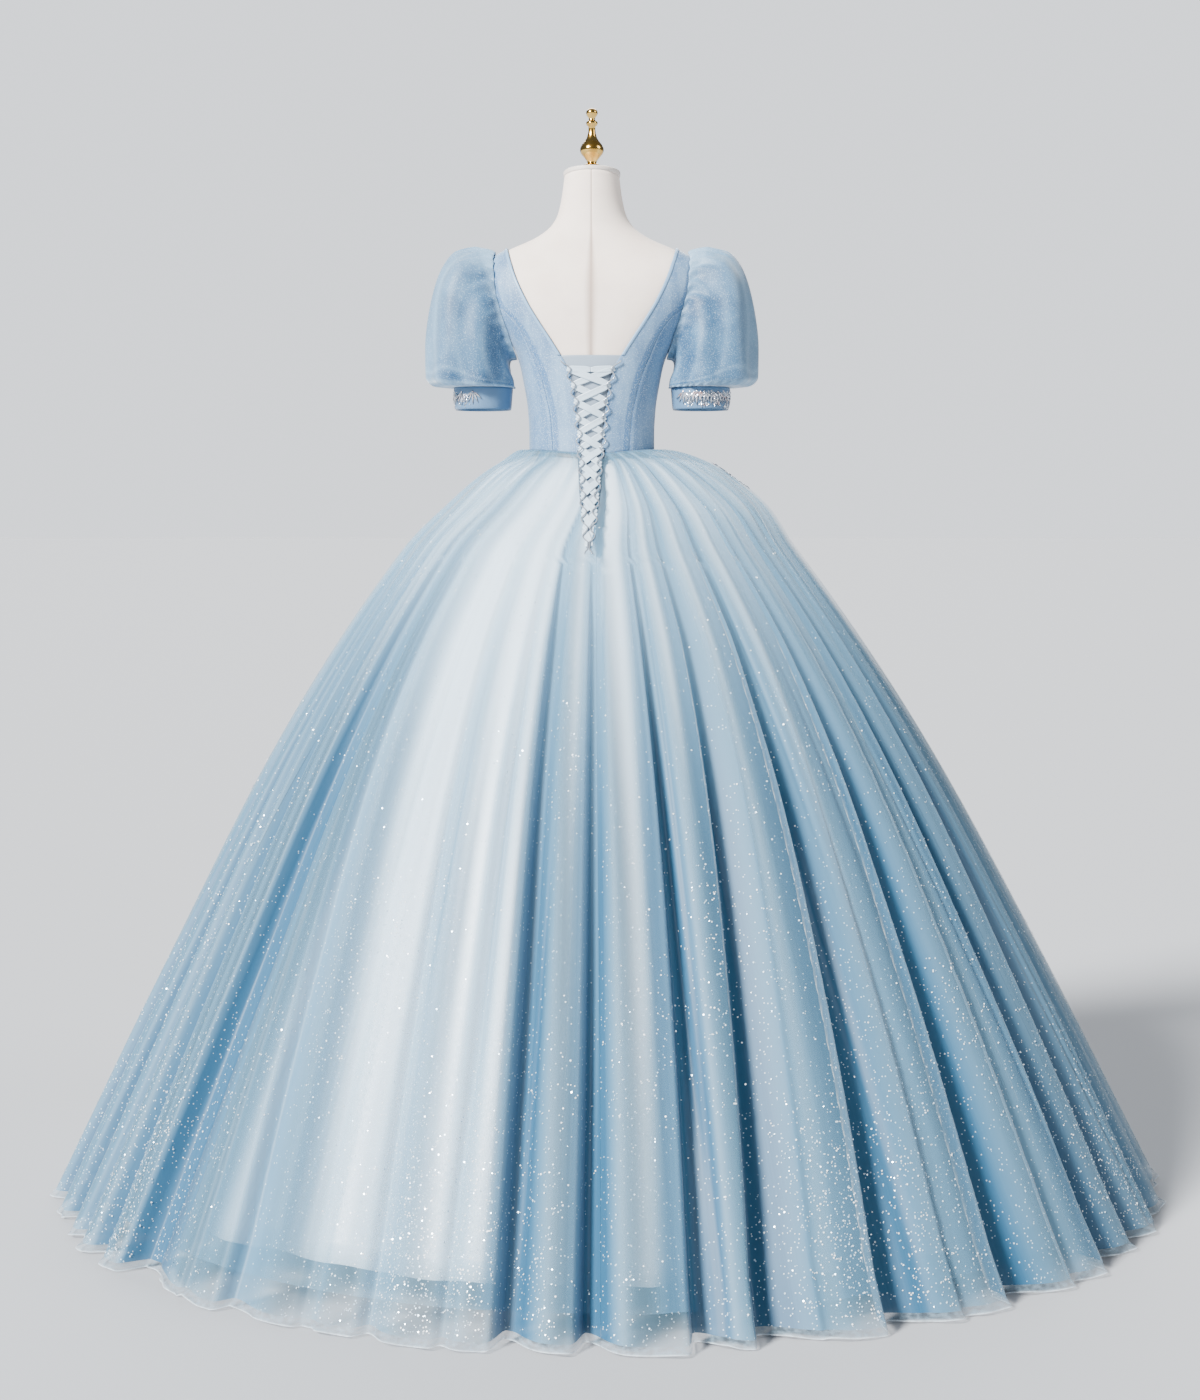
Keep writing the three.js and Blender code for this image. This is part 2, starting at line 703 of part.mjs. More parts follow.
function addNetEdging(k) {
  const hem = SKIRT[SKIRT.length - 1];
  const ring = (z, flare) => ({
    ...hem, z, width: hem.width + flare, back: hem.back + flare, front: hem.front + flare,
  });
  const rings = [ring(HEM_Z - SEAM_GAP, 0), ring(NET_BOTTOM, NET_FLARE)];
  const outer = goreGrid(rings, GORES[k], GORES[k + 1]);
  outer[1].slice(1, -1).forEach((point, j) => {
    point.z += j % 2 ? NET_RUFFLE / 2 : 0;
    const scale = 1 - (j % 2 ? 0 : NET_RUFFLE / hem.width);
    point.multiply(vec(scale, scale, 1));
  });
  add(`hem_net_${k + 1}`, wall(outer, moved(outer, false, -NET_WALL, axisHub), false), "net");
}

function liningPoint(turn, row) {
  const wave = (row.wave / 2) * (1 + Math.cos(radians(turn * LINING_WAVES)));
  const radius = skirtRadius(turn, row.width, row.back, row.front) - wave;
  const x = -radius * Math.sin(radians(turn)) - row.swing;
  return vec(x, radius * Math.cos(radians(turn)), row.z - waistDip(turn, row.z));
}

function addLining() {
  const gores = LINING_GORES.length - 1;
  for (const k of range(gores)) {
    const outer = LINING.map((row) => {
      const gap = degrees(HALF_GAP / row.width);
      const [from, to] = [LINING_GORES[k] + gap, LINING_GORES[k + 1] - gap];
      const columns = LINING_SIDES / gores;
      return range(columns + 1).map((j) => liningPoint(mix(from, to, j / columns), row));
    });
    add(`skirt_lining_${k + 1}`, wall(outer, moved(outer, false, -LINING_WALL, axisHub), false), "satin");
  }
}

// Sleeves and cuffs, made on the wearer's left and mirrored

function armholePoint(y, z, out) {
  const s = section(z);
  const depth = y >= 0 ? s.back : s.front;
  const x = s.width * (1 - (Math.abs(y) / depth) ** s.power) ** (1 / s.power);
  return vec(x, y - s.forward, z).addScaledVector(formNormal(x, y - s.forward, z), out);
}

function sleeveRing(row, station) {
  return range(SLEEVE_SIDES).map((k) => {
    const angle = (k / SLEEVE_SIDES) * 2 * Math.PI;
    const wave = row.gather * Math.cos(angle * SLEEVE_GATHERS);
    const mid = vec((row.outer_x + row.inner_x) / 2, 0, (row.outer_z + row.inner_z) / 2);
    const across = vec(row.outer_x - row.inner_x, 0, row.outer_z - row.inner_z).divideScalar(2);
    const point = mid.clone().addScaledVector(across, Math.cos(angle));
    point.y = row.half_depth * Math.sin(angle);
    const away = point.clone().sub(mid).normalize();
    if (station > 0) return point.addScaledVector(away, wave);
    return armholePoint(point.y, point.z, ease(point.z) + SLEEVE_LIFT + SLEEVE_WALL);
  });
}

function addSleeves() {
  const outer = SLEEVE.map(sleeveRing);
  const sleeve = wall(outer, moved(outer, true, -SLEEVE_WALL, ringHub), true);
  const rim = (radius, z) => circle(CUFF_X, 0, z, radius, CUFF_SIDES);
  const cuffRings = (inset) => [
    rim(CUFF_TOP_RADIUS - inset, CUFF_TOP_Z - SEAM_GAP),
    rim(CUFF_BOTTOM_RADIUS - inset, CUFF_BOTTOM_Z),
  ];
  const cuff = wall(cuffRings(0), cuffRings(CUFF_WALL), true);
  add("sleeve_left", sleeve, "bodice");
  add("sleeve_right", mirrored(sleeve), "bodice");
  add("cuff_left", cuff, "cuff");
  add("cuff_right", mirrored(cuff), "cuff");
}

// Lacing: it lies on the bodice, bridges the waist and lies on the skirt below it

const openBack = (z) => linear(BACK_OPENING, "half", z);

function laceBase(x, z) {
  if (z >= LACE_BEND_TOP) return formPoint(x < 0 ? -1 : 1, 1, tAtX(Math.abs(x), z), z, ease(z));
  if (z > LACE_BEND_FOOT) {
    const t = (z - LACE_BEND_FOOT) / (LACE_BEND_TOP - LACE_BEND_FOOT);
    return laceBase(x, LACE_BEND_FOOT).lerp(laceBase(x, LACE_BEND_TOP), t);
  }
  const rings = SKIRT.map((ring) => ({ ...ring, z: ring.z - waistDip(0, ring.z) }));
  const at = (column) => linear(rings.slice(1), column, z);
  return vec(x, at("back") * Math.sqrt(1 - ((x + at("swing")) / at("width")) ** 2), z);
}

function onLace(x, z, out) {
  const step = 1;
  const across = laceBase(x + step, z).sub(laceBase(x - step, z));
  const up = laceBase(x, z + step).sub(laceBase(x, z - step));
  return laceBase(x, z).addScaledVector(up.cross(across).normalize(), out);
}

const lacePitch = (LACE_TOP - LACE_BOTTOM) / LACE_CROSSINGS;
const laceLevel = (k) => LACE_TOP - k * lacePitch;

// The criss-cross ribbon is joined flat and then bent onto the back
function addRibbon() {
  const end = (side, k) => [side * (openBack(laceLevel(k)) + RIBBON_REACH), laceLevel(k)];
  const levels = [RIBBON_LIFT, RIBBON_LIFT + RIBBON_WALL];
  const middle = [0, LACE_TOP - RIBBON_SAG];
  const passes = [-1, 1].map((side) => strip(end(side, 0), middle, RIBBON_WIDTH, levels));
  for (const k of range(LACE_CROSSINGS)) {
    for (const side of [1, -1]) passes.push(strip(end(side, k), end(-side, k + 1), RIBBON_WIDTH, levels));
  }
  add("lacing_ribbon", bent(fused(passes), onLace), "ribbon");
}

// Cord sewn in loops along one edge of the opening
function addLoopCord(name, side) {
  const pitch = lacePitch;
  const middle = RIBBON_LIFT + RIBBON_WALL + CORD_LIFT + CORD_RADIUS;
  const rings = range(2 * LACE_CROSSINGS + 3).map((k) => {
    const z = LACE_TOP + pitch / 2 - (k * pitch) / 2;
    const x = side * Math.max(openBack(z) + (k % 2 ? -CORD_REACH : CORD_REACH), CORD_RADIUS + HALF_GAP);
    const nearWaist = Math.max(0, 1 - Math.abs(z - LACE_BEND_TOP) / pitch);
    const [r, m] = [CORD_RADIUS, middle + CORD_WAIST_LIFT * nearWaist];
    return [onLace(x - r, z, m), onLace(x, z, m - r), onLace(x + r, z, m), onLace(x, z, m + r)];
  });
  add(name, loft(rings), "cord");
}

// Flat panel behind the lacing, tucked under both edges
function addModestyPanel() {
  const under = -BODICE_WALL - MODESTY_LIFT;
  const row = (place, z) => {
    const tuck = MODESTY_TUCK * clamp((z - LACE_BOTTOM) / MODESTY_TAPER, MODESTY_LEAST_TUCK, 1);
    const width = openBack(z) + tuck;
    return range(MODESTY_COLUMNS + 1).map((k) => place(mix(-width, width, k / MODESTY_COLUMNS), z));
  };
  const onBodice = (out) => (x, z) => {
    return formPoint(x < 0 ? -1 : 1, 1, tAtX(Math.abs(x), z), z, ease(z) + under + out);
  };
  const onSkirt = (out) => (x, z) => onLace(x, z, under + out);
  const grid = (out) => [
    ...MODESTY_ON_BODICE.map((z) => row(onBodice(out), z)),
    ...MODESTY_ON_SKIRT.map((z) => row(onSkirt(out), z)),
  ];
  add("modesty_panel", wall(grid(0), grid(-MODESTY_WALL), false), "ribbon");
}

// Applied sprays: a stem and pointed leaves, joined flat and then bent onto the cloth

function leaf([u, v], angle, length, width) {
  const [c, s] = [Math.cos(radians(angle)), Math.sin(radians(angle))];
  const at = ([along, across], out) => vec(u + along * c - across * s, v + along * s + across * c, out);
  const widest = length * LEAF_WIDEST_AT;
  const outline = [[-LEAF_ROOT, 0], [widest, width / 2], [length, 0], [widest, -width / 2]];
  const points = [...outline.map((corner) => at(corner, LEAF_LIFT)), at([widest, 0], LEAF_LIFT + LEAF_THICK)];
  return body(points, [[0, 2, 1], [0, 3, 2], ...range(4).map((k) => [k, (k + 1) % 4, 4])]);
}

function spray(path, leaves) {
  const levels = [LEAF_LIFT, LEAF_LIFT + LEAF_THICK * 0.5];
  const stems = range(path.length - 1).map((k) => strip(path[k], path[k + 1], STEM_WIDTH, levels));
  return fused([...stems, ...leaves]);
}

// The chart of a cuff: millimetres round its back and outside, height, distance from it
function cuffChart(u, v, out) {
  const level = (v - CUFF_BOTTOM_Z) / (CUFF_TOP_Z - CUFF_BOTTOM_Z);
  const radius = mix(CUFF_BOTTOM_RADIUS, CUFF_TOP_RADIUS, level) + out;
  const angle = u / CUFF_TOP_RADIUS;
  return vec(CUFF_X + radius * Math.sin(angle), radius * Math.cos(angle), v);
}

function cuffSpray() {
  const path = range(2 * CUFF_LEAVES + 1).map((k) => {
    const wave = CUFF_STEM_WAVE * Math.cos((k * Math.PI) / 2);
    return [mix(CUFF_SPRAY_FROM, CUFF_SPRAY_TO, k / CUFF_LEAVES / 2), CUFF_SPRAY_Z + wave];
  });
  const leaves = path.filter((_, k) => k % 2 === 0).flatMap((place, k) => [
    leaf(place, k % 2 ? 70 : 60, CUFF_LEAF_LENGTH, CUFF_LEAF_WIDTH),
    leaf(place, k % 2 ? -65 : -55, CUFF_LEAF_LENGTH - 1, CUFF_LEAF_WIDTH - 1),
  ]);
  return bent(spray(path, leaves), cuffChart);
}

// The chart of the skirt below the waist on the wearer's right
function hipChart(u, v, out) {
  const at = (column) => byRing(column, v);
  const outline = skirtRadius(WAIST_SPRAY_TURN, at("width"), at("back"), at("front"));
  const turn = WAIST_SPRAY_TURN + degrees(u / outline);
  const radius = skirtRadius(turn, at("width"), at("back"), at("front"));
  const outer = radius + LEAF_LIFT_ON_SKIRT * out;
  const x = -outer * Math.sin(radians(turn)) - at("swing");
  return vec(x, outer * Math.cos(radians(turn)), v - waistDip(turn, v));
}

function waistSpray() {
  const path = WAIST_SPRAY.map(({ along, z }) => [along, z]);
  const leaves = path.flatMap((place, k) => [
    leaf(place, k % 2 ? -45 : -60, WAIST_LEAF_LENGTH, WAIST_LEAF_WIDTH),
    leaf(place, k % 2 ? 230 : 215, WAIST_LEAF_LENGTH - 1, WAIST_LEAF_WIDTH - 1),
  ]);
  return bent(spray(path, leaves), hipChart);
}

function addSprays() {
  const onCuff = cuffSpray();
  add("cuff_spray_left", onCuff, "leaves");
  add("cuff_spray_right", mirrored(onCuff), "leaves");
  add("waist_spray", waistSpray(), "leaves");
}

addFormAndStand();
addBodice();
addSkirt();
addSleeves();
addModestyPanel();
addRibbon();
for (const [wearer, side] of SIDES) addLoopCord(`loop_cord_${wearer}`, side);
addSprays();

export default group;
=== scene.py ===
# %% [markdown]
# A tulle ball gown on a dress form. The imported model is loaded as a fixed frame: it says where
# each panel, seam and hem lies. This lesson then makes every piece of cloth again as a smooth thin
# sheet in the same place, and gives it a finish made of nodes.

# %% Load the frame
import math
import bmesh
import bpy
import numpy as np
from mathutils import Matrix, Vector


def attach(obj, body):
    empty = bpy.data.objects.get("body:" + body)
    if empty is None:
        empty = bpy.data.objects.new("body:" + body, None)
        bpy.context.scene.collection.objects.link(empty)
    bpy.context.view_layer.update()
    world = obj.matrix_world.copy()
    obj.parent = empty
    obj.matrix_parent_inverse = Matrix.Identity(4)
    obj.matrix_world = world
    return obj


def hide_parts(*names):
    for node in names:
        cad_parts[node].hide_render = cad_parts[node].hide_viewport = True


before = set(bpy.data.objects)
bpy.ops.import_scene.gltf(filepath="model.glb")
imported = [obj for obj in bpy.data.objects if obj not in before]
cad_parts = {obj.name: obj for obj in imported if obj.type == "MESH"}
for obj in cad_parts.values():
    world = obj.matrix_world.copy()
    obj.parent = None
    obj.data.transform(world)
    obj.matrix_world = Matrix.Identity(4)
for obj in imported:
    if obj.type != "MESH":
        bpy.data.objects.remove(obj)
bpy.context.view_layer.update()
MM = 0.001

# %% [markdown]
# The camera stands four and a half metres behind the gown, just below the waist's height, and
# looks slightly down, as a photographer would with the whole skirt in view. Its field of view
# comes from the picture's own perspective: a long lens makes the hem nearly straight, this one
# curves it.

# %% Camera
CAMERA_TURN = 1.0
CAMERA_DISTANCE = 4.453
CAMERA_HEIGHT = 1.221
CAMERA_PITCH = 4.307
CAMERA_YAW = 0.192
FOCAL_PIXELS = 2413
PICTURE_HEIGHT = 1400
SENSOR_HEIGHT = 24


def aim_camera():
    data = bpy.data.cameras.new("photo_camera")
    data.sensor_fit = "VERTICAL"
    data.sensor_height = SENSOR_HEIGHT
    data.lens = FOCAL_PIXELS / PICTURE_HEIGHT * SENSOR_HEIGHT
    camera = bpy.data.objects.new("photo_camera", data)
    bpy.context.collection.objects.link(camera)
    turn = math.radians(CAMERA_TURN)
    place = Vector((-math.sin(turn), math.cos(turn), 0)) * CAMERA_DISTANCE
    look = Matrix.Rotation(-math.radians(CAMERA_YAW), 3, "Z") @ -place.normalized()
    look.z = -math.tan(math.radians(CAMERA_PITCH))
    camera.location = place + Vector((0, 0, CAMERA_HEIGHT))
    camera.rotation_euler = look.to_track_quat("-Z", "Y").to_euler()
    bpy.context.scene.camera = camera
    return camera


camera = aim_camera()
print("camera at", [round(value, 3) for value in camera.location])

# %% [markdown]
# A finish is a node tree. The small class below wraps a node's output, so that shader sums read
# like ordinary arithmetic: `grain * 0.2 + 0.5` makes the Math nodes. Everything that isn't a sum
# comes from one method that takes the node's type, its settings and what goes into its sockets.

# %% Node helpers


class Wire:
    """A node's output, with arithmetic that adds Math nodes."""

    def __init__(self, finish, socket):
        self.finish = finish
        self.socket = socket

    def sum(self, operation, *values):
        return self.finish.node("Math", {"operation": operation}, dict(enumerate(values)))

    def __add__(self, other):
        return self.sum("ADD", self, other)

    def __radd__(self, other):
        return self.sum("ADD", other, self)

    def __sub__(self, other):
        return self.sum("SUBTRACT", self, other)

    def __rsub__(self, other):
        return self.sum("SUBTRACT", other, self)

    def __mul__(self, other):
        return self.sum("MULTIPLY", self, other)

    def __rmul__(self, other):
        return self.sum("MULTIPLY", other, self)

    def below(self, level):
        return self.sum("LESS_THAN", self, level)

    def wave(self):
        return self.sum("SINE", self)

    def part(self, axis):
        return self.finish.node("SeparateXYZ", {}, {"Vector": self}, out=axis)

    def beside(self, name):
        """Another output of the same node."""
        return Wire(self.finish, self.socket.node.outputs[name])

    def clamped(self):
        return self.finish.node("Clamp", {}, {"Value": self})

    def range(self, low, high, to_low=0.0, to_high=1.0):
        values = {"Value": self, 1: low, 2: high, 3: to_low, 4: to_high}
        return self.finish.node("MapRange", {"interpolation_type": "SMOOTHSTEP"}, values)


class Finish:
    """A material and its nodes; every socket takes either a value or a wire."""

    def __init__(self, name, **sockets):
        self.material = bpy.data.materials.new(name)
        self.material.use_nodes = True
        self.tree = self.material.node_tree
        self.shader = self.tree.nodes["Principled BSDF"]
        self.set(**sockets)

    def set(self, **sockets):
        for name, value in sockets.items():
            self.feed(self.shader, name.replace("_", " "), value)

    def feed(self, node, key, value):
        socket = node.inputs[key]
        if isinstance(value, Wire):
            self.tree.links.new(value.socket, socket)
        elif socket.type == "RGBA" and len(value) == 3:
            socket.default_value = (*value, 1)
        else:
            socket.default_value = value

    def node(self, kind, settings, values, out=0):
        node = self.tree.nodes.new("ShaderNode" + kind)
        for key, value in settings.items():
            setattr(node, key, value)
        for key, value in values.items():
            self.feed(node, key, value)
        return Wire(self, node.outputs[out])

    def place(self):
        return self.node("TexCoord", {}, {}, out="Object")

    def surface(self):
        return self.node("UVMap", {"uv_map": "UVMap"}, {})

    def painted(self, name):
        return self.node("Attribute", {"attribute_name": name}, {}, out="Fac")

    def noise(self, where, scale, detail=2.0, stretch=(1, 1, 1)):
        where = self.node("Mapping", {"vector_type": "POINT"}, {"Vector": where, "Scale": stretch})
        return self.node("TexNoise", {}, {"Vector": where, "Scale": scale, "Detail": detail})

    def blend(self, share, first, second):
        values = {0: share, 6: first, 7: second}
        return self.node("Mix", {"data_type": "RGBA"}, values, out=2)

    def bump(self, height, distance, strength=1.0):
        values = {"Height": height, "Distance": distance, "Strength": strength}
        self.set(Normal=self.node("Bump", {}, values))


def colour(red, green, blue):
    """A screen colour, 0 to 255, as the linear one that shaders use."""
    return tuple((value / 255) ** 2.2 for value in (red, green, blue))


print("node helpers ready")

# %% [markdown]
# Tables and curves. A table gives a shape in a few named sizes, in millimetres. The curve through
# its rows is a monotone cubic: it never overshoots a row, so a hollow between two sizes can't
# appear by accident, which a plain spline would allow.

# %% Tables and curves


def table(names, rows):
    return dict(zip(names.split(), np.array(rows, dtype=float).T))


def curve(rows, column, at, along="z"):
    places = rows[along]
    values = rows[column]
    steps = np.diff(places)
    secants = np.diff(values) / steps
    slopes = np.empty_like(values)
    slopes[0] = secants[0]
    slopes[-1] = secants[-1]
    before = secants[:-1]
    after = secants[1:]
    total = np.where(before + after == 0, 1, before + after)
    slopes[1:-1] = np.where(before * after > 0, 2 * before * after / total, 0)
    row = np.clip(np.searchsorted(places, at) - 1, 0, len(steps) - 1)
    step = steps[row]
    t = np.clip((at - places[row]) / step, 0, 1)
    start = values[row] * (2 * t**3 - 3 * t**2 + 1) + slopes[row] * step * (t**3 - 2 * t**2 + t)
    end = values[row + 1] * (3 * t**2 - 2 * t**3) + slopes[row + 1] * step * (t**3 - t**2)
    return start + end


def sizes_at(rows, at, along="z"):
    """All the sizes in a table at those places along it."""
    return {column: curve(rows, column, at, along) for column in rows if column != along}


def mix(first, second, share):
    return first + (second - first) * share


def rise(value, low, high):
    """0 below low, 1 above high and a smooth step between them."""
    t = np.clip((value - low) / (high - low), 0, 1)
    return t * t * (3 - 2 * t)


def near(away, reach):
    """A soft bell, 1 where away is 0."""
    return np.exp(-((away / reach) ** 2))


FORM = table("z width back front power forward ease", [
    [1050, 138, 96, 94, 2.2, 0, 5],
    [1075, 153, 106, 102, 2.2, 0, 5],
    [1150, 158, 110, 106, 2.2, 0, 5],
    [1230, 141, 102, 98, 2.2, 0, 5],
    [1290, 119, 90, 88, 2, 0, 5.2],
    [1335, 109.5, 84, 84, 2, 0, 5.2],
    [1375, 109.5, 84, 88, 2.05, 0, 5.2],
    [1420, 112, 87, 96, 2.15, 0, 5.2],
    [1465, 119, 91, 108, 2.3, 0, 5.2],
    [1510, 129, 93.5, 117, 2.45, 0, 5.2],
    [1550, 152, 95, 117, 2.5, 0, 5],
    [1592, 177, 95.5, 109, 2.5, 0, 4.6],
    [1636, 192, 90, 91, 2.45, 0, 4.2],
    [1668, 193, 77, 76, 2.3, 0, 4],
    [1685, 187, 66, 65, 2.2, 0, 3.8],
    [1706, 157, 58, 58, 2.1, 1, 3.6],
    [1729, 106, 54, 55, 2.05, 3, 3.6],
    [1739, 90, 53, 54, 2, 5, 3.6],
    [1752, 75, 52, 54, 2, 7, 3.6],
    [1772, 63, 52, 54, 2, 9, 3.6],
    [1800, 56, 52, 54, 2, 11, 3.6],
    [1843, 50, 50, 50, 2, 13, 3.6],
])
NECK_SLOPE = 0.16
NECK_SLOPE_FROM = 1772
NECK_TOP = 1843


def form_depth(towards, z):
    """The form's depth towards the back, where towards is positive, or the front."""
    return np.where(towards >= 0, curve(FORM, "back", z), curve(FORM, "front", z))


def form_reach(x, y, z):
    """1 on the form, less inside it and more outside."""
    y = y + curve(FORM, "forward", z)
    power = curve(FORM, "power", z)
    return (abs(x) / curve(FORM, "width", z)) ** power + (abs(y) / form_depth(y, z)) ** power


def form_normal(x, y, z, step=0.5):
    slope = np.stack([
        form_reach(x + step, y, z) - form_reach(x - step, y, z),
        form_reach(x, y + step, z) - form_reach(x, y - step, z),
        form_reach(x, y, z + step) - form_reach(x, y, z - step),
    ], axis=-1)
    return slope / np.linalg.norm(slope, axis=-1, keepdims=True)


def form_point(side, face, t, z, out=0.0):
    """A point of the form: side +1 is the wearer's left, face +1 the back, t 0 to 90 from the
    centre line to the side, out the distance from the form."""
    power = curve(FORM, "power", z)
    depth = form_depth(face, z)
    x = side * curve(FORM, "width", z) * np.sin(np.radians(t)) ** (2 / power)
    y = face * depth * np.cos(np.radians(t)) ** (2 / power) - curve(FORM, "forward", z)
    point = np.stack([x + 0 * z, y + 0 * z, z + 0 * x], axis=-1)
    return point + form_normal(x, y, z) * np.expand_dims(out + 0 * z, -1)


def t_at_x(x, z):
    share = np.clip(x / curve(FORM, "width", z), 0, 1)
    return np.degrees(np.arcsin(share ** (curve(FORM, "power", z) / 2)))


def t_at_y(y, face, z):
    share = np.clip(y / form_depth(face, z), 0, 1)
    return np.degrees(np.arccos(share ** (curve(FORM, "power", z) / 2)))


print("form is", FORM["z"][-1] - FORM["z"][0], "mm tall")

# %% [markdown]
# Nearly every piece here is a sheet. A flat grid is made with Blender's own operator, and each of
# its points is then moved to where a chart puts it: the chart turns the place on the flat cloth
# into a place in space. The grid keeps its UV map, so a weave follows the cloth. Sheets that run
# right round have their two ends merged.

# %% Sheets of cloth


def shown(name, bm, *materials, smooth=True):
    mesh = bpy.data.meshes.new(name)
    bm.to_mesh(mesh)
    bm.free()
    for material in materials:
        mesh.materials.append(material)
    mesh.polygons.foreach_set("use_smooth", [smooth] * len(mesh.polygons))
    piece = bpy.data.objects.new(name, mesh)
    bpy.context.collection.objects.link(piece)
    return piece


def grid_sheet(name, chart, across, along, finish, closed=False, paint=None, inside=False):
    bm = bmesh.new()
    bm.loops.layers.uv.new("UVMap")
    bmesh.ops.create_grid(bm, x_segments=across, y_segments=along, size=0.5, calc_uvs=True)
    flat = np.array([vert.co[:] for vert in bm.verts]) + 0.5
    places = chart(flat[:, 0], flat[:, 1]) * MM
    shades = {key: make(flat[:, 0], flat[:, 1]) for key, make in (paint or {}).items()}
    for key, values in shades.items():
        layer = bm.verts.layers.float.new(key)
        for vert, value in zip(bm.verts, values):
            vert[layer] = value
    for vert, place in zip(bm.verts, places):
        vert.co = place
    if closed:
        bmesh.ops.remove_doubles(bm, verts=bm.verts, dist=0.01 * MM)
    if inside:
        bmesh.ops.reverse_faces(bm, faces=bm.faces)
    return shown(name, bm, finish.material)


def thicken(piece, thickness):
    """Gives a sheet its thickness towards the inside."""
    wall = piece.modifiers.new("thickness", "SOLIDIFY")
    wall.thickness = thickness * MM
    wall.offset = -1
    return piece


def joined(name, pieces):
    """Several pieces made one mesh, with their modifiers applied."""
    bm = bmesh.new()
    graph = bpy.context.evaluated_depsgraph_get()
    materials = []
    for piece in pieces:
        part = bpy.data.meshes.new_from_object(piece.evaluated_get(graph), depsgraph=graph)
        bm.from_mesh(part)
        materials = materials or list(part.materials)
        bpy.data.meshes.remove(part)
    whole = shown(name, bm, materials[0])
    for piece in pieces:
        bpy.data.objects.remove(piece)
    return whole


def dress(piece, node):
    """The piece rides on the body and stands for its node, if it has one."""
    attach(piece, "root")
    if node:
        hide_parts(node)
    return piece


def area_of(piece):
    """Square metres of surface; a sheet with a thickness counts on both of its sides."""
    graph = bpy.context.evaluated_depsgraph_get()
    mesh = piece.evaluated_get(graph).to_mesh()
    return sum(face.area for face in mesh.polygons)


print("sheet helpers ready")

# %% [markdown]
# The finishes of the cloths. Glitter tulle is a net too fine to model, so it is a see-through
# sheet: its alpha is how much of the view the threads take. It rises where a fold bunches several
# layers, and also where painted shade lies in and beside the folds. Satin is opaque with a soft
# sheen. The finest glitter is a field of small cells, of which some have a paler middle. Values
# painted on the sheets say where a finish changes. On the skirt one holds the gathering of the cloth
# and painted shade, and on the sleeves their gathering and a painted highlight. Another marks the
# seams, and the one behind the lacing is painted shade beside its edges.

# %% Cloth finishes
SKY_BLUE = colour(130, 182, 212)
# the deep blue of gathered tulle, which is also the colour of the painted shade in and beside its folds
DENSE_AND_SHADED_BLUE = colour(30, 82, 114)
SATIN_WHITE = colour(224, 239, 250)


def glitter(finish, scale, size, keep):
    """1 on small round specks: keep is the share of cells that hold one."""
    cells = {"Vector": finish.place(), "Scale": scale, "Randomness": 1.0}
    away = finish.node("TexVoronoi", {"feature": "F1"}, cells, out="Distance")
    pick = away.beside("Color").part("X")
    return away.below(size) * pick.below(keep)


def tulle_finish(name, thin, thick, specks):
    """Tulle whose alpha runs from thin, where it hangs free, to thick, where it is bunched and where painted
    shade lies; the tint deepens with it.
    """
    finish = Finish(name, Roughness=0.55, Sheen_Weight=0.35, Sheen_Roughness=0.4)
    bunch_and_painted_light = finish.painted("bunch_and_painted_light")
    streaks = finish.noise(finish.surface(), 1.0, 3.0, stretch=(240, 2.2, 1))
    veils = finish.noise(finish.surface(), 1.0, 2.0, stretch=(9, 1.3, 1))
    tone = (bunch_and_painted_light + (streaks - 0.5) * 0.12 + (veils - 0.5) * 0.3).clamped()
    # painted shade: the tint goes to the deep blue both where the painted value holds gathered cloth and
    # where it holds painted shade
    tint = finish.blend(tone, SKY_BLUE, DENSE_AND_SHADED_BLUE)
    alpha = tone.range(0, 1, thin, thick)
    if specks:
        spark = glitter(finish, 170, 0.2, finish.painted("glitter")) * 0.55
        tint = finish.blend(spark, tint, colour(214, 230, 242))
        alpha = (alpha + spark * 0.5).clamped()
    finish.set(Base_Color=tint, Alpha=alpha)
    return finish


def satin_finish(name, light, dark, grain=1400.0, roughness=0.38):
    """Satin in two close tones, with a fine weave of that many threads across."""
    finish = Finish(name, Sheen_Weight=0.3, Sheen_Roughness=0.35)
    cloud = finish.noise(finish.place(), 9, 3)
    weave = finish.noise(finish.surface(), grain, 1, stretch=(1, 0.15, 1))
    tone = ((cloud - 0.5) * 1.2 + 0.5).clamped()
    finish.set(Base_Color=finish.blend(tone, light, dark))
    finish.set(Roughness=weave.range(0.3, 0.7, roughness - 0.06, roughness + 0.1))
    finish.bump(weave, 0.0002, 0.3)
    return finish


def lining_finish():
    """White satin with painted shade: bluer down in its folds and on the right of the back towards the hem.
    """
    finish = satin_finish("lining_satin", SATIN_WHITE, colour(222, 234, 243))
    cloud = finish.noise(finish.surface(), 1.0, 3.0, stretch=(14, 1.4, 1))
    tone = (finish.painted("bunch_and_painted_light") + (cloud - 0.5) * 0.5).clamped()
    # painted shade: the lining goes from white to this blue in its folds and on the right of the back
    # towards the hem
    finish.set(Base_Color=finish.blend(tone, SATIN_WHITE, colour(88, 136, 168)))
    return finish


def bodice_finish():
    """Organza over satin: a dusty shimmer, bluer towards each princess seam."""
    finish = Finish("bodice_satin", Roughness=0.5, Sheen_Weight=0.4, Sheen_Roughness=0.35)
    cloud = finish.noise(finish.place(), 30, 4, stretch=(1, 1, 0.2))
    dust = finish.noise(finish.place(), 520, 2)
    pale = finish.blend(cloud.range(0.3, 0.7), colour(120, 154, 186), colour(82, 118, 156))
    tint = finish.blend(finish.painted("seam").clamped(), pale, colour(54, 98, 142))
    finish.set(Base_Color=finish.blend(dust.range(0.52, 0.7, 0, 0.55), tint, colour(190, 210, 228)))
    weave = finish.noise(finish.surface(), 700, 1, stretch=(1, 0.2, 1))
    finish.bump(weave + dust, 0.0003, 0.4)
    return finish


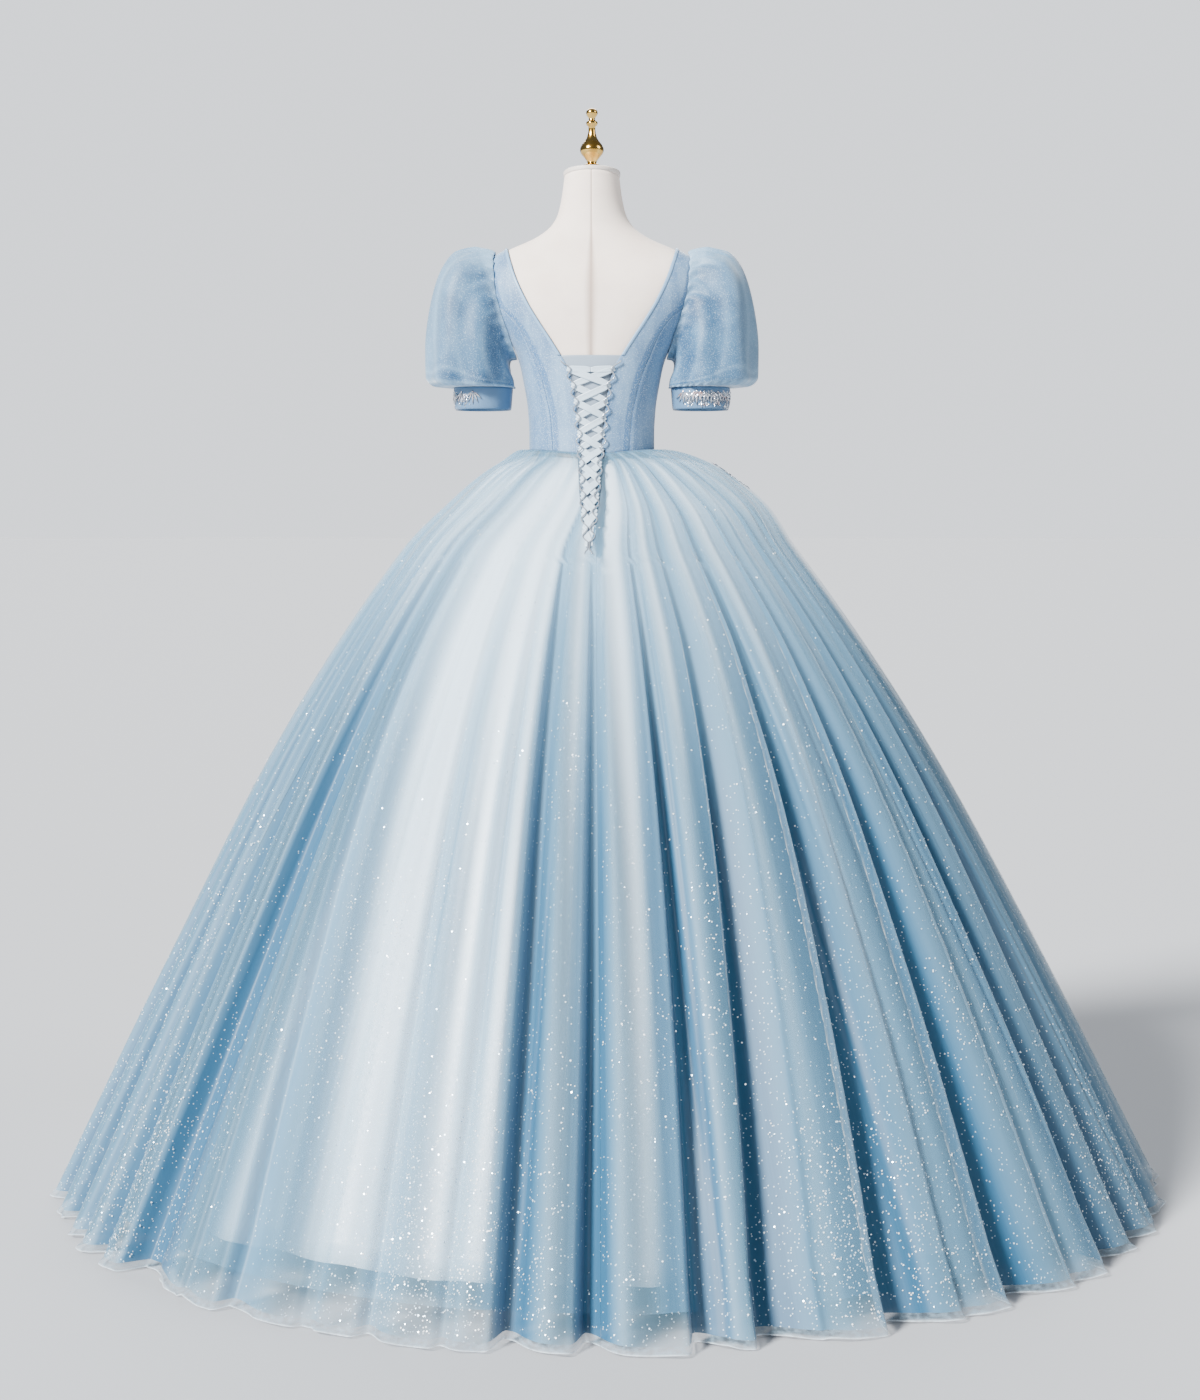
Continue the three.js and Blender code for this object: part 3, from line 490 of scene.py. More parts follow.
def organza_finish():
    """Crisp and slightly see-through; denser and paler where it is gathered or turned under, and with a
    painted highlight, paler and denser, along the outer side of the puff.
    """
    finish = Finish("sleeve_organza", Roughness=0.55, Sheen_Weight=0.45, Sheen_Roughness=0.35)
    density_and_highlight = finish.painted("bunch_and_painted_light")
    cloud = finish.noise(finish.place(), 16, 4)
    dust = finish.noise(finish.place(), 520, 2)
    veil = finish.blend(cloud.range(0.35, 0.65), colour(66, 108, 142), colour(34, 76, 112))
    tint = finish.blend(density_and_highlight, veil, colour(132, 168, 196))
    finish.set(Base_Color=finish.blend(dust.range(0.52, 0.7, 0, 0.35), tint, colour(178, 202, 222)))
    finish.set(Alpha=(density_and_highlight * 0.12 + dust * 0.2 + 0.8).clamped())
    finish.bump(dust, 0.0003, 0.4)
    return finish


def panel_finish():
    """Grey satin behind the lacing, in deep shade beside the two edges that it joins."""
    finish = satin_finish("panel_satin", colour(150, 166, 182), colour(132, 150, 168), 900)
    shade = finish.painted("gap")
    finish.set(Base_Color=finish.blend(shade, colour(142, 158, 175), colour(30, 38, 50)))
    return finish


def net_finish():
    """Sheer crinkled net with a paler rolled rim."""
    finish = Finish("net_edge", Roughness=0.6)
    rim = finish.painted("rim")
    crinkle = finish.noise(finish.surface(), 1.0, 3.0, stretch=(110, 2, 1))
    finish.set(Base_Color=finish.blend(rim, colour(140, 168, 188), colour(206, 220, 230)))
    finish.set(Alpha=(crinkle.range(0.3, 0.7, 0.1, 0.4) + rim * 0.5).clamped())
    return finish


outer_tulle = tulle_finish("glitter_tulle", 0.1, 0.93, specks=True)
inner_tulle = tulle_finish("plain_tulle", 0.06, 0.8, specks=False)
lining_satin = lining_finish()
bodice_satin = bodice_finish()
sleeve_organza = organza_finish()
binding_satin = satin_finish("binding_satin", colour(136, 172, 204), colour(112, 150, 186))
ribbon_satin = satin_finish("ribbon_satin", colour(206, 222, 234), colour(168, 194, 214), 900, 0.28)
cuff_satin = satin_finish("cuff_satin", colour(96, 128, 158), colour(76, 108, 142), 900)
cord_silk = satin_finish("cord_silk", colour(196, 202, 210), colour(112, 122, 136), 900, 0.2)
cord_silk.set(Metallic=0.55)
panel_satin = panel_finish()
net_edge = net_finish()
print(len(bpy.data.materials), "materials so far")

# %% [markdown]
# The dress form is a padded torso under linen: level sections run smoothly from the hips to the
# neck, where a painted cap closes it. A grid wrapped right round gives it clean quads, and the
# seams down the middle of its back and front are fine grooves in the same chart.

# %% Dress form
SEAM_GROOVE = 0.9
SEAM_WIDTH = 1.6
FORM_COLUMNS = 320
FORM_ROWS = 130
THREADS = 5200


def linen_finish():
    finish = Finish("form_linen", Roughness=0.85, Sheen_Weight=0.2)
    cloud = finish.noise(finish.place(), 14, 3)
    linen = finish.blend(cloud.range(0.3, 0.7), colour(246, 232, 220), colour(238, 222, 210))
    finish.set(Base_Color=finish.blend(finish.painted("seam"), linen, colour(140, 116, 104)))
    where = finish.place()
    threads = (where.part("X") * THREADS).wave() * (where.part("Z") * THREADS).wave()
    finish.bump(threads, 0.0001, 0.35)
    return finish


def form_chart(u, v):
    around = u * 2 * np.pi
    z = mix(FORM["z"][0], FORM["z"][-1], v)
    side = np.where(np.sin(around) >= 0, 1, -1)
    face = np.where(np.cos(around) >= 0, 1, -1)
    t = np.degrees(np.arcsin(np.clip(abs(np.sin(around)), 0, 1)))
    x_at_seam = form_point(side, face, t, z)[..., 0]
    point = form_point(side, face, t, z, -SEAM_GROOVE * near(x_at_seam, SEAM_WIDTH))
    lift = np.clip((z - NECK_SLOPE_FROM) / (NECK_TOP - NECK_SLOPE_FROM), 0, 1)
    point[..., 2] += lift * NECK_SLOPE * (point[..., 1] + curve(FORM, "forward", z))
    return point


def close_ends(piece, outwards=False):
    """Fills the open ends of a piece, and can turn its faces outwards."""
    bm = bmesh.new()
    bm.from_mesh(piece.data)
    bmesh.ops.holes_fill(bm, edges=[edge for edge in bm.edges if edge.is_boundary], sides=0)
    if outwards:
        bmesh.ops.recalc_face_normals(bm, faces=bm.faces)
    bm.to_mesh(piece.data)
    bm.free()


def form_seam(u, v):
    """A thin dark line down the middle of the back, where u is 0 and 1, and of the front."""
    away = np.minimum(abs(u - 0.5), 0.5 - abs(u - 0.5))
    return 0.75 * near(away * FORM_COLUMNS / 2, 0.5)


form_linen = linen_finish()
form = grid_sheet("form_cover", form_chart, FORM_COLUMNS, FORM_ROWS, form_linen, closed=True,
                  paint={"seam": form_seam})
close_ends(form)
dress(form, "dress_form")
print("form cover", len(form.data.polygons), "faces")

# %% [markdown]
# The turned parts, the finial, pole and base, are profiles spun about an upright axis. The
# profile is drawn as a chain of points and the spin operator carries it round; the doubles on
# the axis are merged and the faces turned outwards afterwards.

# %% Turned parts
FINIAL = table("rise radius", [
    [0, 14], [1, 15.5], [5, 15.5], [7, 12], [9, 8], [13, 9.5], [20, 15], [26, 20], [31, 21.6],
    [36, 21.4], [42, 18.5], [48, 13.5], [54, 9.6], [62, 7.2], [70, 6.2], [75, 6.6], [77, 9.4],
    [80, 10.6], [83, 10.2], [85, 7.2], [88, 5.2], [91, 6.6], [95, 9.6], [99, 10.8], [103, 9.8],
    [106, 6.6], [108, 0],
])
FINIAL_FOOT = 1858.4
NECK_CENTRE_Y = -13
CAP_RADIUS = 50
CAP_STEPS = table("v scale rise tilt", [
    [0, 0.98, -3, 1], [0.35, 1.035, 1, 0.95], [0.55, 1.04, 6, 0.8], [0.8, 0.9, 11.5, 0.45], [1, 0.02, 15, 0],
])


def turned(name, profile, centre, finish, steps=64):
    """profile is a list of (radius, height) in millimetres, from the foot up."""
    bm = bmesh.new()
    chain = [bm.verts.new((radius * MM, 0, height * MM)) for radius, height in profile]
    edges = [bm.edges.new(pair) for pair in zip(chain, chain[1:])]
    bmesh.ops.spin(bm, geom=chain + edges, cent=(0, 0, 0), axis=(0, 0, 1), angle=2 * math.pi,
                   steps=steps, use_merge=True)
    bmesh.ops.remove_doubles(bm, verts=bm.verts, dist=0.02 * MM)
    bmesh.ops.translate(bm, verts=bm.verts, vec=Vector(centre) * MM)
    bmesh.ops.recalc_face_normals(bm, faces=bm.faces)
    return shown(name, bm, finish.material)


def brass_finish():
    finish = Finish("polished_brass", Metallic=1.0, Coat_Weight=0.3, Coat_Roughness=0.1)
    wear = finish.noise(finish.place(), 60, 4)
    finish.set(Base_Color=finish.blend(wear.range(0.35, 0.65), colour(232, 190, 104), colour(208, 158, 70)))
    finish.set(Roughness=wear.range(0.3, 0.7, 0.1, 0.24))
    return finish


def painted_finish(name, light, dark, roughness):
    finish = Finish(name, Roughness=roughness)
    wear = finish.noise(finish.place(), 30, 4)
    finish.set(Base_Color=finish.blend(wear.range(0.3, 0.7), light, dark))
    finish.bump(finish.noise(finish.place(), 900, 2), 0.0001, 0.3)
    return finish


brass = brass_finish()
cap_paint = painted_finish("cap_paint", colour(226, 219, 212), colour(212, 203, 195), 0.5)
stand_paint = painted_finish("stand_paint", colour(60, 60, 64), colour(44, 44, 48), 0.45)
finial_profile = [(0, FINIAL_FOOT), *zip(FINIAL["radius"], FINIAL_FOOT + FINIAL["rise"])]
finial = turned("finial_turned", finial_profile, (0, NECK_CENTRE_Y, 0), brass)
dress(finial, "finial")
pole = turned("pole_tube", [(0, 16.3), (16, 16.3), (16, 1049), (0, 1049)], (0, 0, 0), stand_paint, 32)
dress(pole, "stand_pole")
base_profile = [(0, 0), (198, 0), (200, 3), (200, 11), (198, 14), (192, 16), (0, 16)]
base = turned("base_disc", base_profile, (0, 0, 0), stand_paint)
dress(base, "stand_base")
print("finial is", FINIAL["rise"][-1], "mm tall")

# %% [markdown]
# The cap is a low dome over the slanting neck, made from a short table of its own.

# %% Neck cap


def cap_chart(u, v):
    around = u * 2 * np.pi
    at = sizes_at(CAP_STEPS, v, "v")
    x = CAP_RADIUS * at["scale"] * np.sin(around)
    y = CAP_RADIUS * at["scale"] * np.cos(around) + NECK_CENTRE_Y
    tilt = at["tilt"] * NECK_SLOPE * CAP_RADIUS * np.cos(around)
    return np.stack([x, y, NECK_TOP + at["rise"] + tilt], axis=-1)


cap = grid_sheet("cap_dome", cap_chart, 96, 24, cap_paint, closed=True)
close_ends(cap)
dress(cap, "neck_cap")
print("cap made")

# %% [markdown]
# The skirt. Its outline is a table of level rings. Over it run soft radial folds: each drops
# steeply on its left, rises slowly on its right and deepens towards the hem. Finer creases and the
# pleats of the waist gathers lie between. Places round the skirt are turns in degrees from the
# centre back towards the right of the picture. A painted value follows the folds, and the tulle
# finish reads it. Cloth that is pushed together there shows more threads and looks bluer. The
# same value also carries painted shade in the folds and creases, a painted shadow on the slope to
# the right of each fold, and painted shade at the sides, towards the hem and on the right of the back.

# %% Skirt shape
WAIST_Z = 1344
WAIST_DIP = 9
SLIT_FOOT = 1165
SKIRT = table("z width back front swing fold", [
    [1343.7, 114.7, 89.2, 89.2, 0, 0.018],
    [1347, 127, 96, 97, 3, 0.04],
    [1320, 198, 134, 150, 24, 0.11],
    [1255, 286, 224, 240, 27, 0.22],
    [1165, 362, 332, 338, 14, 0.34],
    [860, 568, 566, 560, 18, 0.58],
    [450, 790, 792, 780, 25, 0.8],
    [16, 1008, 1014, 995, 30, 1],
])
FOLDS = table("turn top deep left right", [
    [-1.4, -1, 56, 0.6, 2.0], [8.2, 10, 58, 0.5, 2.8], [14, 19.2, 60, 0.6, 4.4],
    [19.6, 24.5, 16, 0.6, 1.6], [25.8, 31, 60, 0.5, 4.6], [33.5, 37.5, 14, 0.5, 1.6],
    [39.5, 44.2, 56, 0.5, 4.2], [48, 51, 20, 0.5, 2], [54.5, 57.5, 54, 0.5, 3.2],
    [62, 66, 46, 0.6, 3], [70.5, 74, 38, 0.7, 3], [79, 81, 46, 0.7, 3.4], [91, 92, 40, 0.8, 4],
    [103, 102, 52, 0.7, 4.4], [116, 115, 40, 0.8, 4], [128, 127, 52, 0.7, 4.6],
    [141, 141, 40, 0.8, 4], [153, 154, 50, 0.7, 4.4], [166, 165, 42, 0.8, 4],
    [179, 178, 48, 0.7, 4.4], [191, 192, 40, 0.8, 4], [204, 205, 52, 0.7, 4.6],
    [216, 217, 38, 0.8, 4], [229, 229, 50, 0.7, 4.4], [241, 241, 40, 0.8, 4],
    [253, 252, 52, 0.7, 4.4], [264, 262, 38, 0.8, 4], [274, 272, 46, 0.7, 3.6],
    [283, 281, 40, 0.8, 3], [290.5, 289, 44, 0.7, 2.6], [297, 295, 30, 0.6, 2],
    [303, 300, 44, 0.9, 1.8], [309.3, 308.8, 54, 0.4, 6], [319, 316, 16, 0.6, 1.8],
    [324.6, 318.5, 34, 0.5, 3.4], [333, 330, 10, 0.4, 1], [339.3, 336, 26, 0.6, 1.6],
    [346.4, 345.6, 16, 0.4, 1], [351.4, 350.4, 58, 0.5, 2.4],
])
FOLD_TOP = 0.3
FOLD_FOOT = 0.95
CREASES = 90
DEEPEST = 60
CREST_WIDTH = 0.22
UNDER_GAP = 4
SHADE_TURN = 30
SHADE_REACH = 24


def along_profile(rows):
    """Adds the distance down the cloth, 0 to 1, as a column."""
    steps = np.hypot(np.diff(rows["width"]), np.diff(rows["z"]))
    rows["down"] = np.concatenate([[0], np.cumsum(steps)]) / np.sum(steps)
    return rows


def turn_apart(first, second):
    return (first - second + 540) % 360 - 180


def folds_at(turn, down):
    """For each main fold, how far away it is, its depth and its widths to the left and right. It
    may run a little askew from its top to its foot."""
    along = np.clip((down - FOLD_TOP) / (FOLD_FOOT - FOLD_TOP), 0, 1)
    for foot, top, deep, left, right in zip(*FOLDS.values()):
        yield turn_apart(turn, mix(top, foot, along)), deep, left, right


def valleys(turn, down, soft=0.0):
    """How deep the cloth lies in a main fold, in millimetres at the hem. Each has a steep wall on
    its left and a long slope on its right. An inner layer has softer folds, wider by soft."""
    depth = np.zeros_like(turn)
    for away, deep, left, right in folds_at(turn, down):
        depth = np.maximum(depth, deep * near(away, np.where(away < 0, left, right) + soft))
    return depth


def fold_edges(turn, down):
    """1 on the crest of each main fold, where the tulle lies double."""
    edge = np.zeros_like(turn)
    for away, deep, left, _ in folds_at(turn, down):
        edge = np.maximum(edge, near(away + left, CREST_WIDTH) * deep / DEEPEST)
    return edge


def crease_table(seed, count):
    random = np.random.RandomState(seed)
    return {
        "turn": random.uniform(0, 360, count),
        "deep": random.uniform(2, 7, count),
        "wide": random.uniform(0.3, 0.8, count),
        "drift": random.uniform(-2.5, 2.5, count),
        "from": random.uniform(-0.2, 0.45, count),
        "to": random.uniform(0.5, 1.3, count),
    }


def creases(turn, down, rows):
    depth = np.zeros_like(turn)
    for at, deep, wide, drift, start, end in zip(*rows.values()):
        shape = near(turn_apart(turn, at + drift * down), wide)
        depth += deep * shape * rise(down, start, start + 0.2) * (1 - rise(down, end - 0.25, end))
    return depth


def gathers(turn, down):
    """Fine pleating where the tulle is drawn into the waist seam."""
    wave = np.sin(np.radians(turn * 96)) + 0.6 * np.sin(np.radians(turn * 61 + 40))
    return 1.6 * wave * (1 - rise(down, 0.02, 0.16)) * rise(down, 0, 0.01)


def ring_radius(turn, width, back, front):
    sine = np.sin(np.radians(turn))
    cosine = np.cos(np.radians(turn))
    return 1 / np.hypot(sine / width, cosine / np.where(cosine > 0, back, front))


def waist_dip(turn, z):
    """The waist seam dips to a soft point at the centre back."""
    level = np.clip((z - 16) / (WAIST_Z - 16), 0, 1)
    return WAIST_DIP * ((1 + np.cos(np.radians(turn))) / 2) ** 6 * level**4


def skirt_point(turn, radius, swing, z):
    """The point at that turn and radius; the whole skirt swings a little to one side."""
    x = -radius * np.sin(np.radians(turn)) - swing
    return np.stack([x, radius * np.cos(np.radians(turn)), z - waist_dip(turn, z)], axis=-1)


SKIRT = along_profile(SKIRT)
CREASE_ROWS = crease_table(5, CREASES)


def skirt_place(turn, down, inset=0.0, folds=1.0, shift=0.0):
    """A point of the tulle; inset moves it inwards, by that share of the deepest fold, and shift
    turns its folds."""
    at = sizes_at(SKIRT, down, "down")
    by_lacing = rise(abs(turn_apart(turn, 0)), 5, 15)
    flat = mix(by_lacing, 1, rise(SLIT_FOOT - at["z"], -30, 160))
    deep = valleys(turn + shift, down, inset * 1.2) * at["fold"] * flat * folds
    fine = creases(turn + shift * 3, down, CREASE_ROWS) * rise(down, 0.05, 0.4) * flat
    lobes = 5 * np.sin(np.radians(turn * 17 + 30 * np.sin(down * 5))) * at["fold"]
    radius = ring_radius(turn, at["width"], at["back"], at["front"])
    radius = radius - deep - fine * 0.8 * folds + lobes * folds + gathers(turn, down) * flat
    radius = radius - inset * (UNDER_GAP + at["fold"] * 61)
    return skirt_point(turn, radius, at["swing"], at["z"])


def right_shade(turn, down):
    """The right half of the back turns away from the light towards its hem."""
    return 0.1 * near(turn_apart(turn, SHADE_TURN), SHADE_REACH) * rise(down, 0.4, 0.95)


def bunching_and_shade(turn, down, shift=0.0):
    """How much the tulle is pushed together in the folds, creases and waist seam, which shows more
    threads. The same value carries painted shade: shade in the folds and creases, a painted shadow on the
    slope to the right of each fold, and painted shade at the sides, towards the hem and on the right of the
    back."""
    deep = valleys(turn + shift, down, 0.4 + shift) / DEEPEST
    # painted shadow: the same valleys moved to the right paint the shadow that each fold casts on the slope
    # to its right
    deep = np.maximum(deep, valleys(turn + shift - 1.3, down, 0.2 + shift) / (DEEPEST + 2))
    edge = fold_edges(turn + shift, down) * (shift == 0)
    fine = creases(turn + shift * 3, down, CREASE_ROWS) / 9 * rise(down, 0.05, 0.5)
    waist = 0.14 * (1 - rise(down, 0.0, 0.12))
    by_lacing = rise(abs(turn_apart(turn, 0)), 4, 12)
    calm = mix(by_lacing, 1, rise(down, 0.1, 0.22))
    # painted shade: bluer at the sides and towards the hem, where less light reaches the skirt
    side_and_hem_shade = 0.3 * abs(np.sin(np.radians(turn))) ** 3 * rise(down, 0.05, 0.5) + 0.1 * rise(down, 0.5, 1.0)
    side_and_hem_shade = side_and_hem_shade + right_shade(turn, down)
    seam = 0.6 * (1 - rise(down, 0.008, 0.024))
    folded = deep * mix(0.5, 1.0, rise(down, 0.1, 0.6)) + edge * 0.18 + fine * 0.2
    return np.clip(folded * calm + waist + side_and_hem_shade + seam, 0, 1)


print(len(FOLDS["turn"]), "main folds and", CREASES, "creases")

# %% [markdown]
# The outer tulle is six joined widths, as a maker would cut them. Each is a single see-through
# surface: a thickness would only double the number of layers that the light has to cross.

# %% Outer tulle
GORES = [0, 60, 120, 180, 240, 300, 360]
GORE_COLUMNS = 260
GORE_ROWS = 90
SEAM_GAP = 0.3
SLIT = table("z half", [[SLIT_FOOT, 0.15], [1175, 1.5], [1200, 7], [1250, 12], [1335, 18], [1405, 24]])


def half_slit(down):
    """Half of the open slit below the waist, in degrees of turn; further down it is a seam."""
    z = curve(SKIRT, "z", down, "down")
    opening = np.where(z > SLIT_FOOT, curve(SLIT, "half", z), SEAM_GAP / 2)
    return np.degrees(np.arctan2(opening, curve(SKIRT, "back", down, "down")))


def gore_turn(u, down, start, end):
    gap = np.degrees(SEAM_GAP / 2 / curve(SKIRT, "width", down, "down"))
    swing = np.degrees(np.arctan2(curve(SKIRT, "swing", down, "down"), curve(SKIRT, "back", down, "down")))
    slit = half_slit(down)
    low = start + (slit - swing * (down < 0.2) if start == 0 else gap)
    high = end - (slit + swing * (down < 0.2) if end == 360 else gap)
    return mix(low, high, u)


def hem_bias(v):
    """Rows lie closer together near the waist, where the cloth turns sharply."""
    return v**1.35


def gore_sheet(name, start, end, finish, inset, shift, columns=GORE_COLUMNS, rows=GORE_ROWS, foot=1.0):
    folds = 1 - 0.88 * inset

    def chart(u, v):
        down = hem_bias(v) * foot
        return skirt_place(gore_turn(u, down, start, end), down, inset, folds=folds, shift=shift)

    def bunch_and_painted_light(u, v):
        down = hem_bias(v) * foot
        # painted shade: a dark line along the right edge of the open slit below the waist
        slit_shade = near(u, 0.008) * (1 - rise(down, 0.17, 0.2)) if start == 0 else 0
        return np.clip(bunching_and_shade(gore_turn(u, down, start, end), down, shift) + slit_shade, 0, 1)

    def sparkle(u, v):
        patch = 0.5 + 0.5 * np.sin(u * 9 + start) * np.sin(v * 7 + start)
        return 0.03 + (0.12 + 0.7 * patch) * rise(v, 0.3, 1.0)

    return grid_sheet(name, chart, columns, rows, finish, paint={"bunch_and_painted_light": bunch_and_painted_light, "glitter": sparkle})


outer_gores = []
for number, (start, end) in enumerate(zip(GORES, GORES[1:]), 1):
    gore = gore_sheet(f"tulle_width_{number}", start, end, outer_tulle, 0.0, 0.0)
    dress(gore, f"skirt_tulle_{number}")
    outer_gores.append(gore)
print("outer tulle", round(sum(area_of(gore) for gore in outer_gores), 2), "square metres")

# %% [markdown]
# A second layer of the same tulle hangs inside the first, smoother and with its folds turned a
# little, so that two sets of soft lines cross each other as they do in the picture. Under both
# lies the satin lining, which ends above the hem, so the lowest band of the tulle shows the floor.

# %% Inner tulle and lining
INNER_INSET = 1.0
INNER_SHIFT = 1.1
LINING = table("z width back front swing wave", [
    [1336, 111.6, 86.4, 86.4, 1, 0],
    [1318, 186, 122, 138, 24, 0],
    [1255, 263, 201, 217, 27, 3],
    [1165, 331, 301, 307, 14, 4],
    [860, 520, 518, 512, 18, 6],
    [450, 726, 728, 716, 25, 9],
    [68, 905, 911, 893, 29, 12],
])
LINING = along_profile(LINING)
LINING_FOLD = 2.0
LINING_WALL = 0.6


def lining_chart(start, end):
    def chart(u, v):
        down = hem_bias(v)
        turn = mix(start, end, u)
        at = sizes_at(LINING, down, "down")
        ripple = 0.5 + 0.5 * np.cos(np.radians(turn * 12)) + 0.35 * np.cos(np.radians(turn * 31 + 50))
        wave = at["wave"] * (ripple + LINING_FOLD * valleys(turn, down, 1.6) / DEEPEST)
        radius = ring_radius(turn, at["width"], at["back"], at["front"]) - wave
        return skirt_point(turn, radius, at["swing"], at["z"])
    return chart


def lining_fold_shade(start, end):
    def bunch_and_painted_light(u, v):
        down = hem_bias(v)
        turn = mix(start, end, u)
        # painted shade in the lining's folds, and on the right of the back towards the hem
        deep = valleys(turn, down, 1.4) / DEEPEST
        return np.clip(deep * mix(0.3, 0.9, down) + right_shade(turn, down), 0, 1)
    return bunch_and_painted_light


inner = []
for number, (start, end) in enumerate(zip(GORES, GORES[1:]), 1):
    layer = gore_sheet(f"tulle_under_{number}", start, end, inner_tulle, INNER_INSET, INNER_SHIFT,
                       columns=180, rows=70, foot=0.985)
    dress(layer, None)
    inner.append(layer)
for number in range(4):
    start = number * 90
    gore = grid_sheet(f"lining_gore_{number + 1}", lining_chart(start, start + 90), 200, 60, lining_satin,
                      paint={"bunch_and_painted_light": lining_fold_shade(start, start + 90)})
    thicken(gore, LINING_WALL)
    dress(gore, f"skirt_lining_{number + 1}")
    print(gore.name, round(area_of(gore) / 2, 2))
print("inner tulle", round(sum(area_of(layer) for layer in inner), 2), "square metres")

# %% [markdown]
# The net edging is a narrow crinkled strip along the hem. It is a grid too, with ruffles that are
# small waves across it, uneven so that no two look alike.


def net_chart(start, end):
    def chart(u, v):
        turn = mix(start, end, u)
        hem = skirt_place(turn, np.ones_like(turn))
        crinkle = np.sin(np.radians(turn * 71 + 50 * np.sin(np.radians(turn * 7))))
        crinkle = crinkle + 0.7 * np.sin(np.radians(turn * 113 + 60 * np.cos(np.radians(turn * 11))))
        out = v * (8 + 4 * crinkle)
        outwards = np.stack([-np.sin(np.radians(turn)), np.cos(np.radians(turn)), 0 * turn], axis=-1)
        point = hem + outwards * out[:, None]
        point[:, 2] = hem[:, 2] - v * (11 - 1.6 * crinkle)
        return point
    return chart


for number, (start, end) in enumerate(zip(GORES, GORES[1:]), 1):
    edge = grid_sheet(f"net_edge_{number}", net_chart(start + 0.02, end - 0.02), 420, 8, net_edge,
                      paint={"rim": lambda u, v: near(1 - v, 0.12)})
    dress(edge, f"hem_net_{number}")
print("net edge", round(area_of(edge), 4), "square metres a width")

# %% [markdown]
# The bodice is cut in eight panels that meet in princess seams. Each panel is a grid between its
# two edges, laid on the form at the distance that the frame gives, and dips slightly where it is
# turned under at a seam.

# %% Bodice panels
BACK_OPENING = table("z half", [
    [1165, 1.2], [1200, 7], [1250, 12], [1335, 18], [1405, 24], [1450, 30], [1488, 40], [1513, 53],
    [1545, 73], [1577, 94], [1610, 114], [1654, 135], [1690, 147], [1712, 153],
])
FRONT_OPENING = table("z half", [
    [1335, 0], [1578, 0], [1604, 34], [1636, 80], [1668, 118], [1690, 140], [1712, 153],
])
BACK_PRINCESS = table("z half", [
    [1335, 66], [1405, 71], [1440, 78], [1475, 87], [1513, 102], [1545, 116], [1577, 137], [1604, 166],
])
FRONT_PRINCESS = table("z half", [
    [1335, 60], [1405, 68], [1475, 84], [1513, 92], [1545, 102], [1577, 124], [1604, 156],
])
ARMHOLE_Z = 1604
ARMHOLE_RISE = 86
ARMHOLE_HALF_DEPTH = 50
SHOULDER_TIP_Z = 1688
PANEL_TOP = 1708
SIDE_TOP = 1604
TURNED_EDGE = 0.55
PANEL_WALL = 1.2


def opening(face, z):
    return curve(BACK_OPENING if face > 0 else FRONT_OPENING, "half", z)


def princess(face, z):
    return curve(BACK_PRINCESS if face > 0 else FRONT_PRINCESS, "half", z)


def armhole_t(face, z):
    level = np.clip((z - ARMHOLE_Z) / ARMHOLE_RISE, -1, 1)
    y = np.where(z > SHOULDER_TIP_Z, 0, ARMHOLE_HALF_DEPTH * np.sqrt(1 - level**2))
    return t_at_y(np.maximum(y, SEAM_GAP / 2), face, z)


def opening_t(face, z):
    return t_at_x(np.maximum(opening(face, z), SEAM_GAP / 2), z)


def princess_t(face, z, inset):
    seam = t_at_x(princess(face, z) + inset * SEAM_GAP / 2, z)
    if inset > 0:
        return seam
    return mix(seam, armhole_t(face, z), rise(z, SIDE_TOP - 6, SIDE_TOP + 14))


def ease(z):
    return curve(FORM, "ease", z)


def panel_chart(side, face, start, end, top):
    def chart(u, v):
        height = mix(WAIST_Z, top, v)
        t = mix(start(face, height), end(face, height), u)
        seam = form_point(side, face, t, height)
        turn = np.degrees(np.arctan2(-seam[:, 0], seam[:, 1]))
        dip = WAIST_DIP * ((1 + np.cos(np.radians(turn))) / 2) ** 6
        z = height - dip * (1 - v) ** 12
        edges = near(u, 0.035) + near(1 - u, 0.035)
        return form_point(side, face, t, z, ease(z) - TURNED_EDGE * edges)
    return chart


def centre_panel_paint(u, v):
    """A blue band beside the princess seam and a thin line at the neckline."""
    band = 0.75 * rise(u, 0.7, 0.78) * (1 - 0.8 * rise(u, 0.93, 0.96))
    return band + 0.9 * near(1 - u, 0.014) + 0.35 * near(u, 0.05)


def flank_paint(u, v):
    return 0.3 + 0.3 * (1 - rise(u, 0.08, 0.3)) - 0.45 * near(u - 0.05, 0.03) + 0.8 * near(u, 0.012)


SIDES = [("left", 1), ("right", -1)]
FACES = [("back", 1), ("front", -1)]
for wearer, side in SIDES:
    for part, face in FACES:
        centre = panel_chart(side, face, opening_t, lambda f, z: princess_t(f, z, -1), PANEL_TOP)
        flip = side * face > 0
        panel = grid_sheet(f"panel_{part}_{wearer}", centre, 80, 90, bodice_satin, inside=flip,
                           paint={"seam": centre_panel_paint})
        dress(thicken(panel, PANEL_WALL), f"bodice_{part}_{wearer}")
        beside = panel_chart(side, face, lambda f, z: princess_t(f, z, 1), armhole_t, SIDE_TOP)
        flank = grid_sheet(f"flank_{part}_{wearer}", beside, 60, 70, bodice_satin, inside=flip,
                           paint={"seam": flank_paint})
        dress(thicken(flank, PANEL_WALL), f"bodice_side_{part}_{wearer}")
        print(panel.name, round(area_of(panel) / 2, 4), flank.name, round(area_of(flank) / 2, 4))

# %% [markdown]
# The neckline is bound with a narrow folded strip that stands a little proud of the panels.

# %% Neck bindings
BINDING_WIDTH = 6
BINDING_WALL = 0.8
BINDING_FOOT = {1: 1513, -1: 1579}


